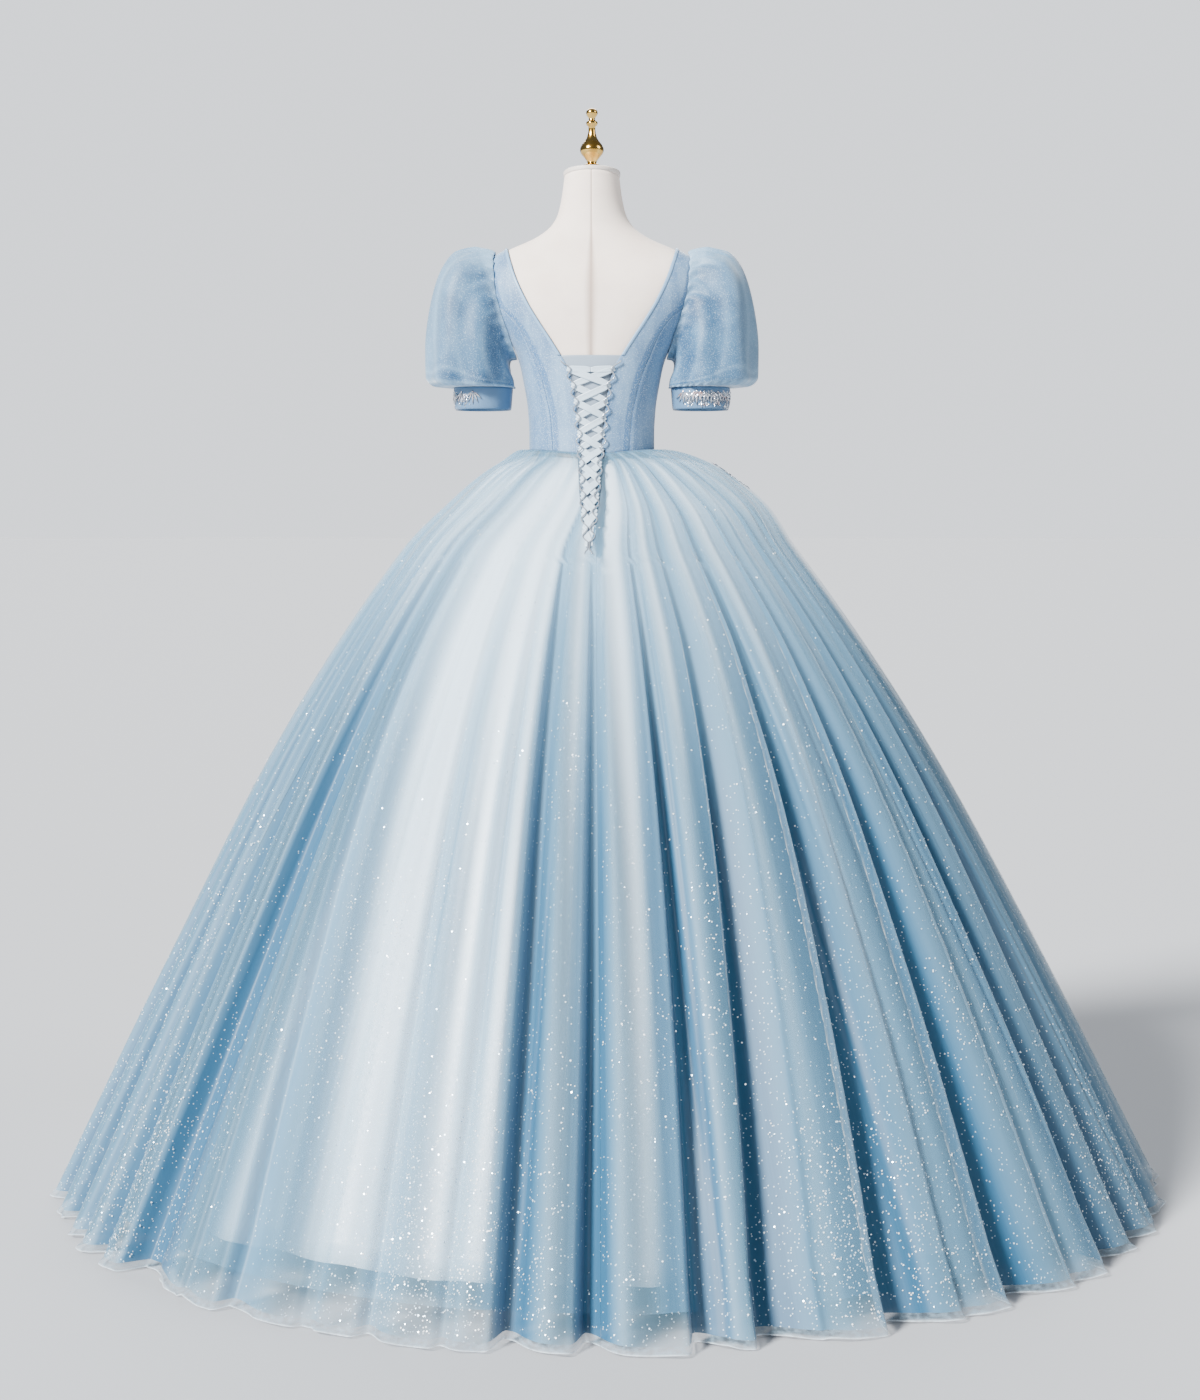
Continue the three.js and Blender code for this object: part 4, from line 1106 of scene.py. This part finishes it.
def binding_chart(side, face):
    def chart(u, v):
        z = mix(BINDING_FOOT[face], PANEL_TOP, v)
        inner_x = opening(face, z) + 0.15
        x = inner_x + u * BINDING_WIDTH
        crown = 1.5 - 1.1 * (2 * u - 1) ** 4
        t = t_at_x(np.minimum(x, curve(FORM, "width", z) - 0.6), z)
        return form_point(side, face, t, z, ease(z) + crown)
    return chart


for wearer, side in SIDES:
    for part, face in FACES:
        strip = grid_sheet(f"binding_{part}_{wearer}", binding_chart(side, face), 10, 90, binding_satin,
                           inside=side * face > 0)
        dress(thicken(strip, BINDING_WALL), f"neck_binding_{part}_{wearer}")
        print(strip.name, round(area_of(strip) / 2, 5))

# %% [markdown]
# Puff sleeves. The table gives, from the armhole to the cuff, the outermost and innermost point
# of each ring. Gathers at the head and above the cuff are small waves that fade into the puff.

# %% Sleeves
SLEEVE = table("station outer_x outer_z inner_x inner_z half_depth", [
    [0, 190, 1694, 139, 1514, 53],
    [1, 210, 1712, 147, 1508, 60],
    [2, 246, 1704, 150, 1500, 70],
    [3, 278, 1664, 148, 1489, 78],
    [4, 294, 1602, 145, 1478, 82],
    [5, 302, 1532, 142, 1468, 82],
    [6, 303, 1478, 140, 1461.5, 80],
    [7, 282, 1461, 142, 1459, 70],
    [8, 252.5, 1459.5, 146, 1459.5, 53],
])
HEAD_GATHERS = 26
CUFF_GATHERS = 34
SLEEVE_LIFT = 0.15
SLEEVE_WALL = 1.5


def armhole_point(y, z, out):
    power = curve(FORM, "power", z)
    x = curve(FORM, "width", z) * (1 - (abs(y) / form_depth(y, z)) ** power) ** (1 / power)
    y = y - curve(FORM, "forward", z)
    return np.stack([x, y, z], axis=-1) + form_normal(x, y, z) * out[:, None]


def sleeve_bunch_and_highlight(u, v):
    """Where the sleeve is gathered or turned, and a painted highlight along its outer side."""
    angle = u * 2 * np.pi
    station = v * 8
    head = (1 - rise(station, 0.4, 1.6 + 0.5 * np.sin(angle * 11))) * 0.4
    foot = 0.8 * rise(station, 5.9, 6.6)
    fold = 0.25 * near(station - 5.6 - 0.15 * np.sin(angle * 4), 0.1)
    lines = 0.2 * near(np.sin(angle * 4.5 + 1.2 * np.sin(station * 0.6)), 0.4) * rise(station, 1, 3)
    # painted highlight: paler and denser along the outer side of the puff
    outside = 0.5 * rise(np.cos(angle), 0.3, 0.95)
    return np.clip(head + foot + fold + lines + outside, 0, 1)


def sleeve_chart(side):
    def chart(u, v):
        angle = u * 2 * np.pi
        station = v * 8
        at = sizes_at(SLEEVE, station, "station")
        outer = np.stack([at["outer_x"], 0 * u, at["outer_z"]], axis=-1)
        inner = np.stack([at["inner_x"], 0 * u, at["inner_z"]], axis=-1)
        mid = (outer + inner) / 2
        across = (outer - inner) / 2
        ring = mid + across * np.cos(angle)[:, None]
        ring[:, 1] = at["half_depth"] * np.sin(angle)
        away = ring - mid
        away /= np.linalg.norm(away, axis=-1, keepdims=True)
        upper = 0.25 + 0.75 * rise(np.cos(angle), -0.4, 0.6)
        head = np.cos(angle * HEAD_GATHERS + 1.5 * np.sin(angle * 3))
        reach = 2.4 + 1.1 * np.sin(angle * 11 + side)
        head = 3.2 * upper * head * rise(station, 0.1, 0.7) * (1 - rise(station, 0.7, 0.7 + reach * 0.6))
        dents = 2.2 * np.sin(angle * 4 + station * 0.7) * np.sin(station * 1.2 + angle)
        cuff = 2.0 * np.cos(angle * CUFF_GATHERS + 2 * np.sin(angle * 2))
        cuff = cuff * rise(station, 6.0, 7.2) * (1 - rise(station, 7.7, 8))
        soft = 3.2 * np.cos(angle * 7 + 0.8 * np.sin(station))
        soft = soft * rise(station, 0.5, 2) * (1 - rise(station, 7, 8))
        dents = dents * rise(station, 1, 3) * (1 - rise(station, 6, 7.5))
        ring = ring + away * (head + cuff + soft + dents)[:, None]
        seam = armhole_point(ring[:, 1], ring[:, 2], ease(ring[:, 2]) + SLEEVE_LIFT + SLEEVE_WALL)
        ring = mix(seam, ring, rise(station, 0, 0.9)[:, None])
        ring[:, 0] *= side
        return ring
    return chart


for wearer, side in SIDES:
    sleeve = grid_sheet(f"puff_{wearer}", sleeve_chart(side), 280, 90, sleeve_organza, closed=True,
                        inside=side > 0, paint={"bunch_and_painted_light": sleeve_bunch_and_highlight})
    dress(sleeve, f"sleeve_{wearer}")
    print(sleeve.name, round(area_of(sleeve), 4))

# %% [markdown]
# The cuffs are plain bands, slightly narrower at the foot, with both edges turned in.

# %% Cuffs
CUFF_X = 199
CUFF_TOP = 1458.9
CUFF_BOTTOM = 1419
CUFF_TOP_RADIUS = 53
CUFF_FOOT_RADIUS = 50
CUFF_WALL = 1.6


def cuff_chart(side):
    def chart(u, v):
        angle = u * 2 * np.pi
        z = mix(CUFF_TOP, CUFF_BOTTOM, v)
        turned_edges = 0.7 * near(v, 0.05) + 0.7 * near(1 - v, 0.05)
        radius = mix(CUFF_TOP_RADIUS, CUFF_FOOT_RADIUS, v) - turned_edges + 0.25 * np.sin(angle * 9) * v
        return np.stack([side * (CUFF_X + radius * np.sin(angle)), radius * np.cos(angle), z], axis=-1)
    return chart


for wearer, side in SIDES:
    cuff = grid_sheet(f"cuff_band_{wearer}", cuff_chart(side), 120, 14, cuff_satin, closed=True,
                      inside=side > 0)
    dress(thicken(cuff, CUFF_WALL), f"cuff_{wearer}")
    print(cuff.name, round(area_of(cuff) / 2, 4))

# %% [markdown]
# The lacing lies on the bodice, bridges the waist and lies on the skirt below. One chart serves
# all its pieces: a place across and up the back, and a distance from the cloth.

# %% Lacing chart
LACE_TOP = 1489
LACE_BOTTOM = 1172
LACE_CROSSINGS = 11
LACE_PITCH = (LACE_TOP - LACE_BOTTOM) / LACE_CROSSINGS
LACE_BEND_TOP = 1345
LACE_BEND_FOOT = 1316
SKIRT_BELOW_WAIST = {key: values[1:][::-1] for key, values in SKIRT.items()}


def on_bodice(x, z, out):
    return form_point(np.where(x < 0, -1, 1), 1, t_at_x(abs(x), z), z, ease(z) + out)


def on_skirt(x, z):
    rows = dict(SKIRT_BELOW_WAIST)
    rows["z"] = rows["z"] - waist_dip(0, rows["z"])
    back = np.interp(z, rows["z"], rows["back"])
    width = np.interp(z, rows["z"], rows["width"])
    swing = np.interp(z, rows["z"], rows["swing"])
    return np.stack([x, back * np.sqrt(1 - ((x + swing) / width) ** 2), z], axis=-1)


def lace_base(x, z):
    share = np.clip((z - LACE_BEND_FOOT) / (LACE_BEND_TOP - LACE_BEND_FOOT), 0, 1)[..., None]
    upper = on_bodice(x, np.maximum(z, LACE_BEND_TOP), 0)
    lower = on_skirt(x, np.minimum(z, LACE_BEND_FOOT))
    return lower * (1 - share) + upper * share


def on_lace(x, z, out):
    across = lace_base(x + 1, z) - lace_base(x - 1, z)
    up = lace_base(x, z + 1) - lace_base(x, z - 1)
    normal = np.cross(up, across)
    normal /= np.linalg.norm(normal, axis=-1, keepdims=True)
    return lace_base(x, z) + normal * np.expand_dims(out + 0 * x, -1)


print("lacing pitch", round(LACE_PITCH, 1), "mm")

# %% [markdown]
# Behind the lacing lies a tapered satin panel, so no skin shows in the opening. The painted value
# called gap darkens it beside the two edges.

# %% Modesty panel
MODESTY_TOP = 1513
MODESTY_WALL = 0.8


def modesty_chart(u, v):
    z = mix(MODESTY_TOP, LACE_BOTTOM, v)
    width = opening(1, z) + 6 * np.clip((z - LACE_BOTTOM) / 100, 0.3, 1)
    ripple = 0.3 * np.sin(v * 40) * np.sin(u * 5)
    return on_lace(mix(-width, width, u), z, -2.4 + ripple)


def modesty_gap(u, v):
    """Shade between the cloth and the ribbon, deeper along the right edge."""
    shade = np.clip(1.1 * near(u, 0.16) + 0.8 * near(1 - u, 0.13), 0, 1)
    return shade * rise(v, 0.07, 0.1)


modesty = grid_sheet("modesty_satin", modesty_chart, 40, 120, panel_satin, inside=True,
                     paint={"gap": modesty_gap})
dress(thicken(modesty, MODESTY_WALL), "modesty_panel")
print("modesty panel", round(area_of(modesty) / 2, 4))

# %% [markdown]
# The ribbon is laid in crossing passes from edge to edge. At each crossing one pass goes over the
# other by turns, and all narrow where a loop holds them.

# %% Lacing ribbon
RIBBON_WIDTH = 11.5
RIBBON_WALL = 0.5


def ribbon_pass(number, start, end, over):
    start = np.array(start)
    end = np.array(end)
    along = end - start
    length = np.hypot(*along)
    sideways = np.array([-along[1], along[0]]) / length

    def chart(u, v):
        width = RIBBON_WIDTH * (1 - 0.35 * near(v, 0.12) - 0.35 * near(1 - v, 0.12))
        place = start + along * v[:, None] + sideways * ((u - 0.5) * width)[:, None]
        crossing = near(v - 0.5, 0.22)
        cup = 0.5 * (2 * u - 1) ** 2
        return on_lace(place[:, 0], place[:, 1], 1.9 + (1.3 * crossing if over else 0) + cup)
    return grid_sheet(f"pass_{number}", chart, 6, 18, ribbon_satin)


def ribbon_end(side, k):
    z = LACE_TOP - k * LACE_PITCH
    return (side * (float(opening(1, z)) + 1.5), z)


passes = [ribbon_pass(0, ribbon_end(-1, 0), (0, LACE_TOP - 2), False),
          ribbon_pass(1, ribbon_end(1, 0), (0, LACE_TOP - 2), False)]
for k in range(LACE_CROSSINGS):
    for side in (1, -1):
        over = (side > 0) == (k % 2 == 0)
        passes.append(ribbon_pass(len(passes), ribbon_end(side, k), ribbon_end(-side, k + 1), over))
ribbon = thicken(joined("lacing_satin", passes), RIBBON_WALL)
dress(ribbon, "lacing_ribbon")
print("ribbon", round(area_of(ribbon) / 2, 5))

# %% [markdown]
# The cords are tubes: a circle carried along a path of points. They zigzag in and out of the
# edge in loops that hold the ribbon.

# %% Loop cords
CORD_RADIUS = 1.2


def tube(name, path, radius, finish, sides=10):
    """A round tube along a path of points in millimetres, closed at both ends."""
    path = np.asarray(path, dtype=float)
    ahead = np.gradient(path, axis=0)
    ahead /= np.linalg.norm(ahead, axis=1, keepdims=True)
    across = np.cross(ahead, (0, 0, 1.0) if abs(ahead[:, 2]).max() < 0.9 else (0, 1.0, 0))
    across /= np.linalg.norm(across, axis=1, keepdims=True)
    up = np.cross(across, ahead)

    def chart(u, v):
        row = np.rint(v * (len(path) - 1)).astype(int)
        angle = u * 2 * np.pi
        return path[row] + radius * (across[row] * np.cos(angle)[:, None] + up[row] * np.sin(angle)[:, None])
    piece = grid_sheet(name, chart, sides, len(path) - 1, finish, closed=True)
    close_ends(piece, outwards=True)
    return piece


def cord_path(side):
    steps = np.arange(0, 2 * LACE_CROSSINGS + 2.01, 0.125)
    z = LACE_TOP + LACE_PITCH / 2 - steps * LACE_PITCH / 2
    reach = 5 * np.cos(steps * np.pi)
    x = side * np.maximum(opening(1, z) + reach, CORD_RADIUS + 0.2)
    near_waist = np.maximum(0, 1 - abs(z - LACE_BEND_TOP) / LACE_PITCH)
    return on_lace(x, z, 4.3 + 2.2 * near_waist)


for wearer, side in SIDES:
    cord = tube(f"loops_{wearer}", cord_path(side), CORD_RADIUS, cord_silk)
    dress(cord, f"loop_cord_{wearer}")
print("cords made")

# %% [markdown]
# The leaf appliques are sprigs and fans of narrow leaves with round stones between them. A leaf is
# two spheres drawn out to a point, a stone on a flatter silver one, and all are one mesh.

# %% Leaf sprays
STONE = 0
SILVER = 1


def crystal_finish():
    finish = Finish("leaf_crystal", Metallic=0.7, Coat_Weight=0.8, Coat_Roughness=0.05)
    cloud = finish.noise(finish.place(), 120, 2)
    finish.set(Base_Color=finish.blend(cloud.range(0.5, 0.7), colour(214, 220, 228), colour(202, 166, 160)))
    finish.set(Roughness=cloud.range(0.3, 0.7, 0.1, 0.25))
    return finish


def silver_finish():
    finish = Finish("silver_thread", Metallic=0.9)
    cloud = finish.noise(finish.place(), 300, 2)
    finish.set(Base_Color=finish.blend(cloud.range(0.3, 0.7), colour(150, 160, 176), colour(74, 84, 100)))
    finish.set(Roughness=cloud.range(0.3, 0.7, 0.2, 0.4))
    return finish


leaf_crystal = crystal_finish()
silver_thread = silver_finish()


class Spot:
    """A place on a surface with its outward, across and up directions, in millimetres."""

    def __init__(self, chart, u, v, out=1.0):
        self.place = Vector(chart(u, v, out))
        self.outwards = (Vector(chart(u, v, out + 1)) - self.place).normalized()
        self.across = (Vector(chart(u + 1, v, out)) - self.place).normalized()
        self.up = self.across.cross(self.outwards)

    def ahead(self, angle):
        return self.across * math.cos(angle) + self.up * math.sin(angle)


def made_since(bm, faces_before, made_of):
    """Gives the faces made since then their material."""
    bm.faces.ensure_lookup_table()
    for face in bm.faces[faces_before:]:
        face.material_index = made_of


def petal(bm, spot, angle, length, width, thick, lift, made_of):
    """A faceted drop with its root at the spot, lying along the surface at that angle."""
    faces_before = len(bm.faces)
    made = bmesh.ops.create_uvsphere(bm, u_segments=8, v_segments=4, radius=1.0)["verts"]
    ahead = spot.ahead(angle)
    sideways = spot.outwards.cross(ahead)
    for vert in made:
        reach = (vert.co.x + 1) / 2
        taper = (1 - reach) ** 0.6 * reach**0.35 * 1.7
        place = spot.place + ahead * (reach * length) + sideways * (vert.co.y * width / 2 * taper)
        vert.co = (place + spot.outwards * (lift + vert.co.z * thick / 2 * taper)) * MM
    made_since(bm, faces_before, made_of)


def leaf(bm, spot, angle, length, width):
    """A flat silver leaf with a stone set on it."""
    petal(bm, spot, angle, length, width, 1.0, 0.4, SILVER)
    petal(bm, spot, angle, length * 0.8, width * 0.62, 2.2, 0.9, STONE)


def bead(bm, spot, radius, made_of=STONE):
    faces_before = len(bm.faces)
    made = bmesh.ops.create_icosphere(bm, subdivisions=1, radius=radius * MM)["verts"]
    bmesh.ops.translate(bm, verts=made, vec=(spot.place + spot.outwards * radius * 0.5) * MM)
    made_since(bm, faces_before, made_of)


def on_cuff(u, v, out):
    """On the left cuff, u millimetres round it from the back, at the height v."""
    level = (v - CUFF_BOTTOM) / (CUFF_TOP - CUFF_BOTTOM)
    radius = mix(CUFF_FOOT_RADIUS, CUFF_TOP_RADIUS, level) + out
    angle = u / CUFF_TOP_RADIUS
    return (CUFF_X + radius * np.sin(angle), radius * np.cos(angle), v)


def sprig(bm, chart, u, v, heading, size, random):
    """A short stem with paired leaves that get smaller towards its tip."""
    for k in range(3):
        along = k * size * 0.36
        spot = Spot(chart, u + along * math.cos(heading), v + along * math.sin(heading))
        bead(bm, spot, 1.0, SILVER)
        for side in (1, -1):
            angle = heading + side * (0.9 - 0.14 * k) + random.uniform(-0.12, 0.12)
            leaf(bm, spot, angle, size * (0.66 - 0.12 * k), size * (0.27 - 0.04 * k))
    leaf(bm, spot, heading, size * 0.6, size * 0.22)


def leaf_fan(bm, u, v, spread, size):
    """Narrow leaves that hang from one point, the middle one the longest."""
    for k in range(-2, 3):
        angle = math.radians(-90 + k * spread)
        leaf(bm, Spot(on_cuff, u + 1.5 * k, v), angle, size * (1 - 0.09 * abs(k)), size * 0.21)
    bead(bm, Spot(on_cuff, u, v + 1), 2.0)


def cuff_spray(side, reach, step):
    """A band of sprigs and fans round the outside of a cuff, over the part given by reach, in mm."""
    bm = bmesh.new()
    random = np.random.RandomState(11)
    for k, u in enumerate(np.arange(reach[0], reach[1], step)):
        leaf_fan(bm, u, 1450 + random.uniform(-1, 1), 24, random.uniform(23, 26))
        heading = math.radians((20, 165, -20, -160)[k % 4] + random.uniform(-12, 12))
        middle = 1430 + random.uniform(-4, 4)
        sprig(bm, on_cuff, u + step / 2, middle, heading, random.uniform(14, 17), random)
        for low, high in ((1423, 1428), (1423, 1428), (1446, 1452)):
            bead(bm, Spot(on_cuff, u + step * random.uniform(0.2, 0.8), random.uniform(low, high)), 1.5)
    bmesh.ops.scale(bm, verts=bm.verts, vec=(side, 1, 1))
    bmesh.ops.recalc_face_normals(bm, faces=bm.faces)
    name = f"crystals_{'left' if side > 0 else 'right'}"
    return shown(name, bm, leaf_crystal.material, silver_thread.material, smooth=False)


HIP_TURN = 95.0
HIP_NORMAL = (0.6, 0.8)
HIP_LIFT = 2.5


def on_hip(u, v, out):
    """Below the waist at the right side, u and v millimetres from there, out from the cloth."""
    rows = SKIRT_BELOW_WAIST
    width, back, front, swing = (
        float(np.interp(v, rows["z"], rows[column])) for column in ("width", "back", "front", "swing"))
    outline = float(ring_radius(HIP_TURN, width, back, front))
    turn = HIP_TURN + math.degrees(u / outline)
    radius = float(ring_radius(turn, width, back, front)) + HIP_LIFT + out * HIP_NORMAL[0]
    x = -radius * math.sin(math.radians(turn)) - swing
    return (x, radius * math.cos(math.radians(turn)), v + out * HIP_NORMAL[1])


def hip_spray():
    """Four sprigs that hang over the side of the skirt."""
    bm = bmesh.new()
    random = np.random.RandomState(4)
    for u, v, heading in ((-4, 1316, -110), (-14, 1308, -145), (4, 1300, -60), (-12, 1288, -135)):
        sprig(bm, on_hip, u, v, math.radians(heading), 26, random)
    bmesh.ops.recalc_face_normals(bm, faces=bm.faces)
    return shown("crystals_waist", bm, leaf_crystal.material, silver_thread.material, smooth=False)


CUFF_REACH = {"left": (16, 112), "right": (-34, 112)}
CUFF_STEP = {"left": 24, "right": 13}
for wearer, side in SIDES:
    dress(cuff_spray(side, CUFF_REACH[wearer], CUFF_STEP[wearer]), f"cuff_spray_{wearer}")
dress(hip_spray(), "waist_spray")
print("sprays made")

# %% [markdown]
# Besides the fine specks in the finish, the larger glitter dots are real little plates: hexagons
# laid on the outer tulle, denser towards the hem, which catch the light one by one. They are
# made in one go as arrays, because an operator for each of thousands would be slow.

# %% Glitter dots
DOT_TRIES = 160000
DOT_RADIUS = 1.3
DOT_LIFT = 1.2
DOT_TILT = 0.22


def dot_share(turn, down):
    """The dots crowd in patches on the crests of the folds and near the hem."""
    crest = 1 - 0.7 * valleys(turn, down) / DEEPEST
    patch = 0.56 + 0.44 * np.sin(np.radians(turn * 9 + 40 * np.sin(down * 9))) * np.sin(down * 11 + 1)
    high = 0.05 + 0.2 * rise(down, 0.25, 0.6) + 0.75 * rise(down, 0.6, 1.0)
    return crest * patch**2 * high


def glitter_dots(seed):
    """Places tried at random, kept by their share, and a tilted hexagon on each."""
    random = np.random.RandomState(seed)
    turn = random.uniform(0.3, 359.7, DOT_TRIES)
    down = random.uniform(0.12, 0.996, DOT_TRIES)
    kept = random.uniform(0, 1, DOT_TRIES) < dot_share(turn, down)
    turn = turn[kept]
    down = down[kept]
    count = len(turn)
    place = skirt_place(turn, down)
    right = skirt_place(turn + 0.1, down) - place
    below = skirt_place(turn, down + 0.002) - place
    normal = np.cross(right, below)
    normal /= np.linalg.norm(normal, axis=1, keepdims=True)
    outwards = place * (1, 1, 0)
    normal *= np.sign(np.sum(normal * outwards, axis=1))[:, None]
    normal += random.normal(0, DOT_TILT, (count, 3))
    normal /= np.linalg.norm(normal, axis=1, keepdims=True)
    across = np.cross(normal, (0.0, 0.0, 1.0))
    across /= np.linalg.norm(across, axis=1, keepdims=True)
    up = np.cross(normal, across)
    radius = DOT_RADIUS * random.uniform(0.55, 1.3, count)
    corners = np.arange(6) * np.pi / 3
    ring = across[:, None] * np.cos(corners)[:, None] + up[:, None] * np.sin(corners)[:, None]
    points = place[:, None] + normal[:, None] * DOT_LIFT + ring * radius[:, None, None]
    faces = np.arange(count * 6).reshape(count, 6)[:, ::-1]
    mesh = bpy.data.meshes.new("glitter_dots")
    mesh.from_pydata((points.reshape(-1, 3) * MM).tolist(), [], faces.tolist())
    mesh.materials.append(dot_foil.material)
    piece = bpy.data.objects.new("glitter_dots", mesh)
    bpy.context.collection.objects.link(piece)
    return piece


dot_foil = Finish("dot_foil", Metallic=0.2, Roughness=0.25)
dot_foil.set(Base_Color=dot_foil.blend(dot_foil.noise(dot_foil.place(), 40).range(0.4, 0.6),
                                       colour(236, 244, 250), colour(180, 206, 226)))
dots = dress(glitter_dots(3), None)
print(len(dots.data.polygons), "glitter dots")

# %% [markdown]
# A plain pale floor and soft studio light: one broad lamp high on the left gives the skirt its
# bright side, two weaker ones serve the right side and the front, and the pale world fills in.

# %% Floor and light
FILL_STRENGTH = 0.2
SEEN_STRENGTH = 2.25
FLOOR_HALF = 150


def lamp(name, place, power, spread, tint):
    """A far lamp in the direction of place, soft over spread degrees."""
    data = bpy.data.lights.new(name, "SUN")
    data.energy = power
    data.angle = math.radians(spread)
    data.color = tint
    light = bpy.data.objects.new(name, data)
    light.location = place
    light.rotation_euler = (-Vector(place)).to_track_quat("-Z", "Y").to_euler()
    bpy.context.collection.objects.link(light)


def studio_air():
    """Pale air: it fills the shadows softly, and looks as bright as the floor does."""
    world = bpy.data.worlds.new("studio")
    world.use_nodes = True
    tree = world.node_tree
    fill = tree.nodes["Background"]
    fill.inputs["Color"].default_value = (*colour(206, 216, 228), 1)
    fill.inputs["Strength"].default_value = FILL_STRENGTH
    seen = tree.nodes.new("ShaderNodeBackground")
    seen.inputs["Color"].default_value = (*colour(206, 210, 216), 1)
    seen.inputs["Strength"].default_value = SEEN_STRENGTH
    choice = tree.nodes.new("ShaderNodeMixShader")
    rays = tree.nodes.new("ShaderNodeLightPath")
    tree.links.new(rays.outputs["Is Camera Ray"], choice.inputs[0])
    tree.links.new(fill.outputs[0], choice.inputs[1])
    tree.links.new(seen.outputs[0], choice.inputs[2])
    tree.links.new(choice.outputs[0], tree.nodes["World Output"].inputs["Surface"])
    bpy.context.scene.world = world


def floor():
    """A wide plain floor, which isn't part of the model."""
    bm = bmesh.new()
    bmesh.ops.create_grid(bm, x_segments=1, y_segments=1, size=FLOOR_HALF)
    finish = Finish("studio_floor", Base_Color=colour(174, 177, 182), Roughness=0.8)
    plane = shown("studio_floor", bm, finish.material)


floor()
studio_air()
lamp("key", (4.6, 5.0, 4.3), 14, 14, (1, 0.99, 0.97))
lamp("side_light", (-5.0, 1.2, 2.6), 1.1, 30, (0.97, 0.98, 1))
lamp("back_light", (0.3, -5.0, 3.6), 2.5, 40, (0.97, 0.98, 1))
print("floor and lamps ready")
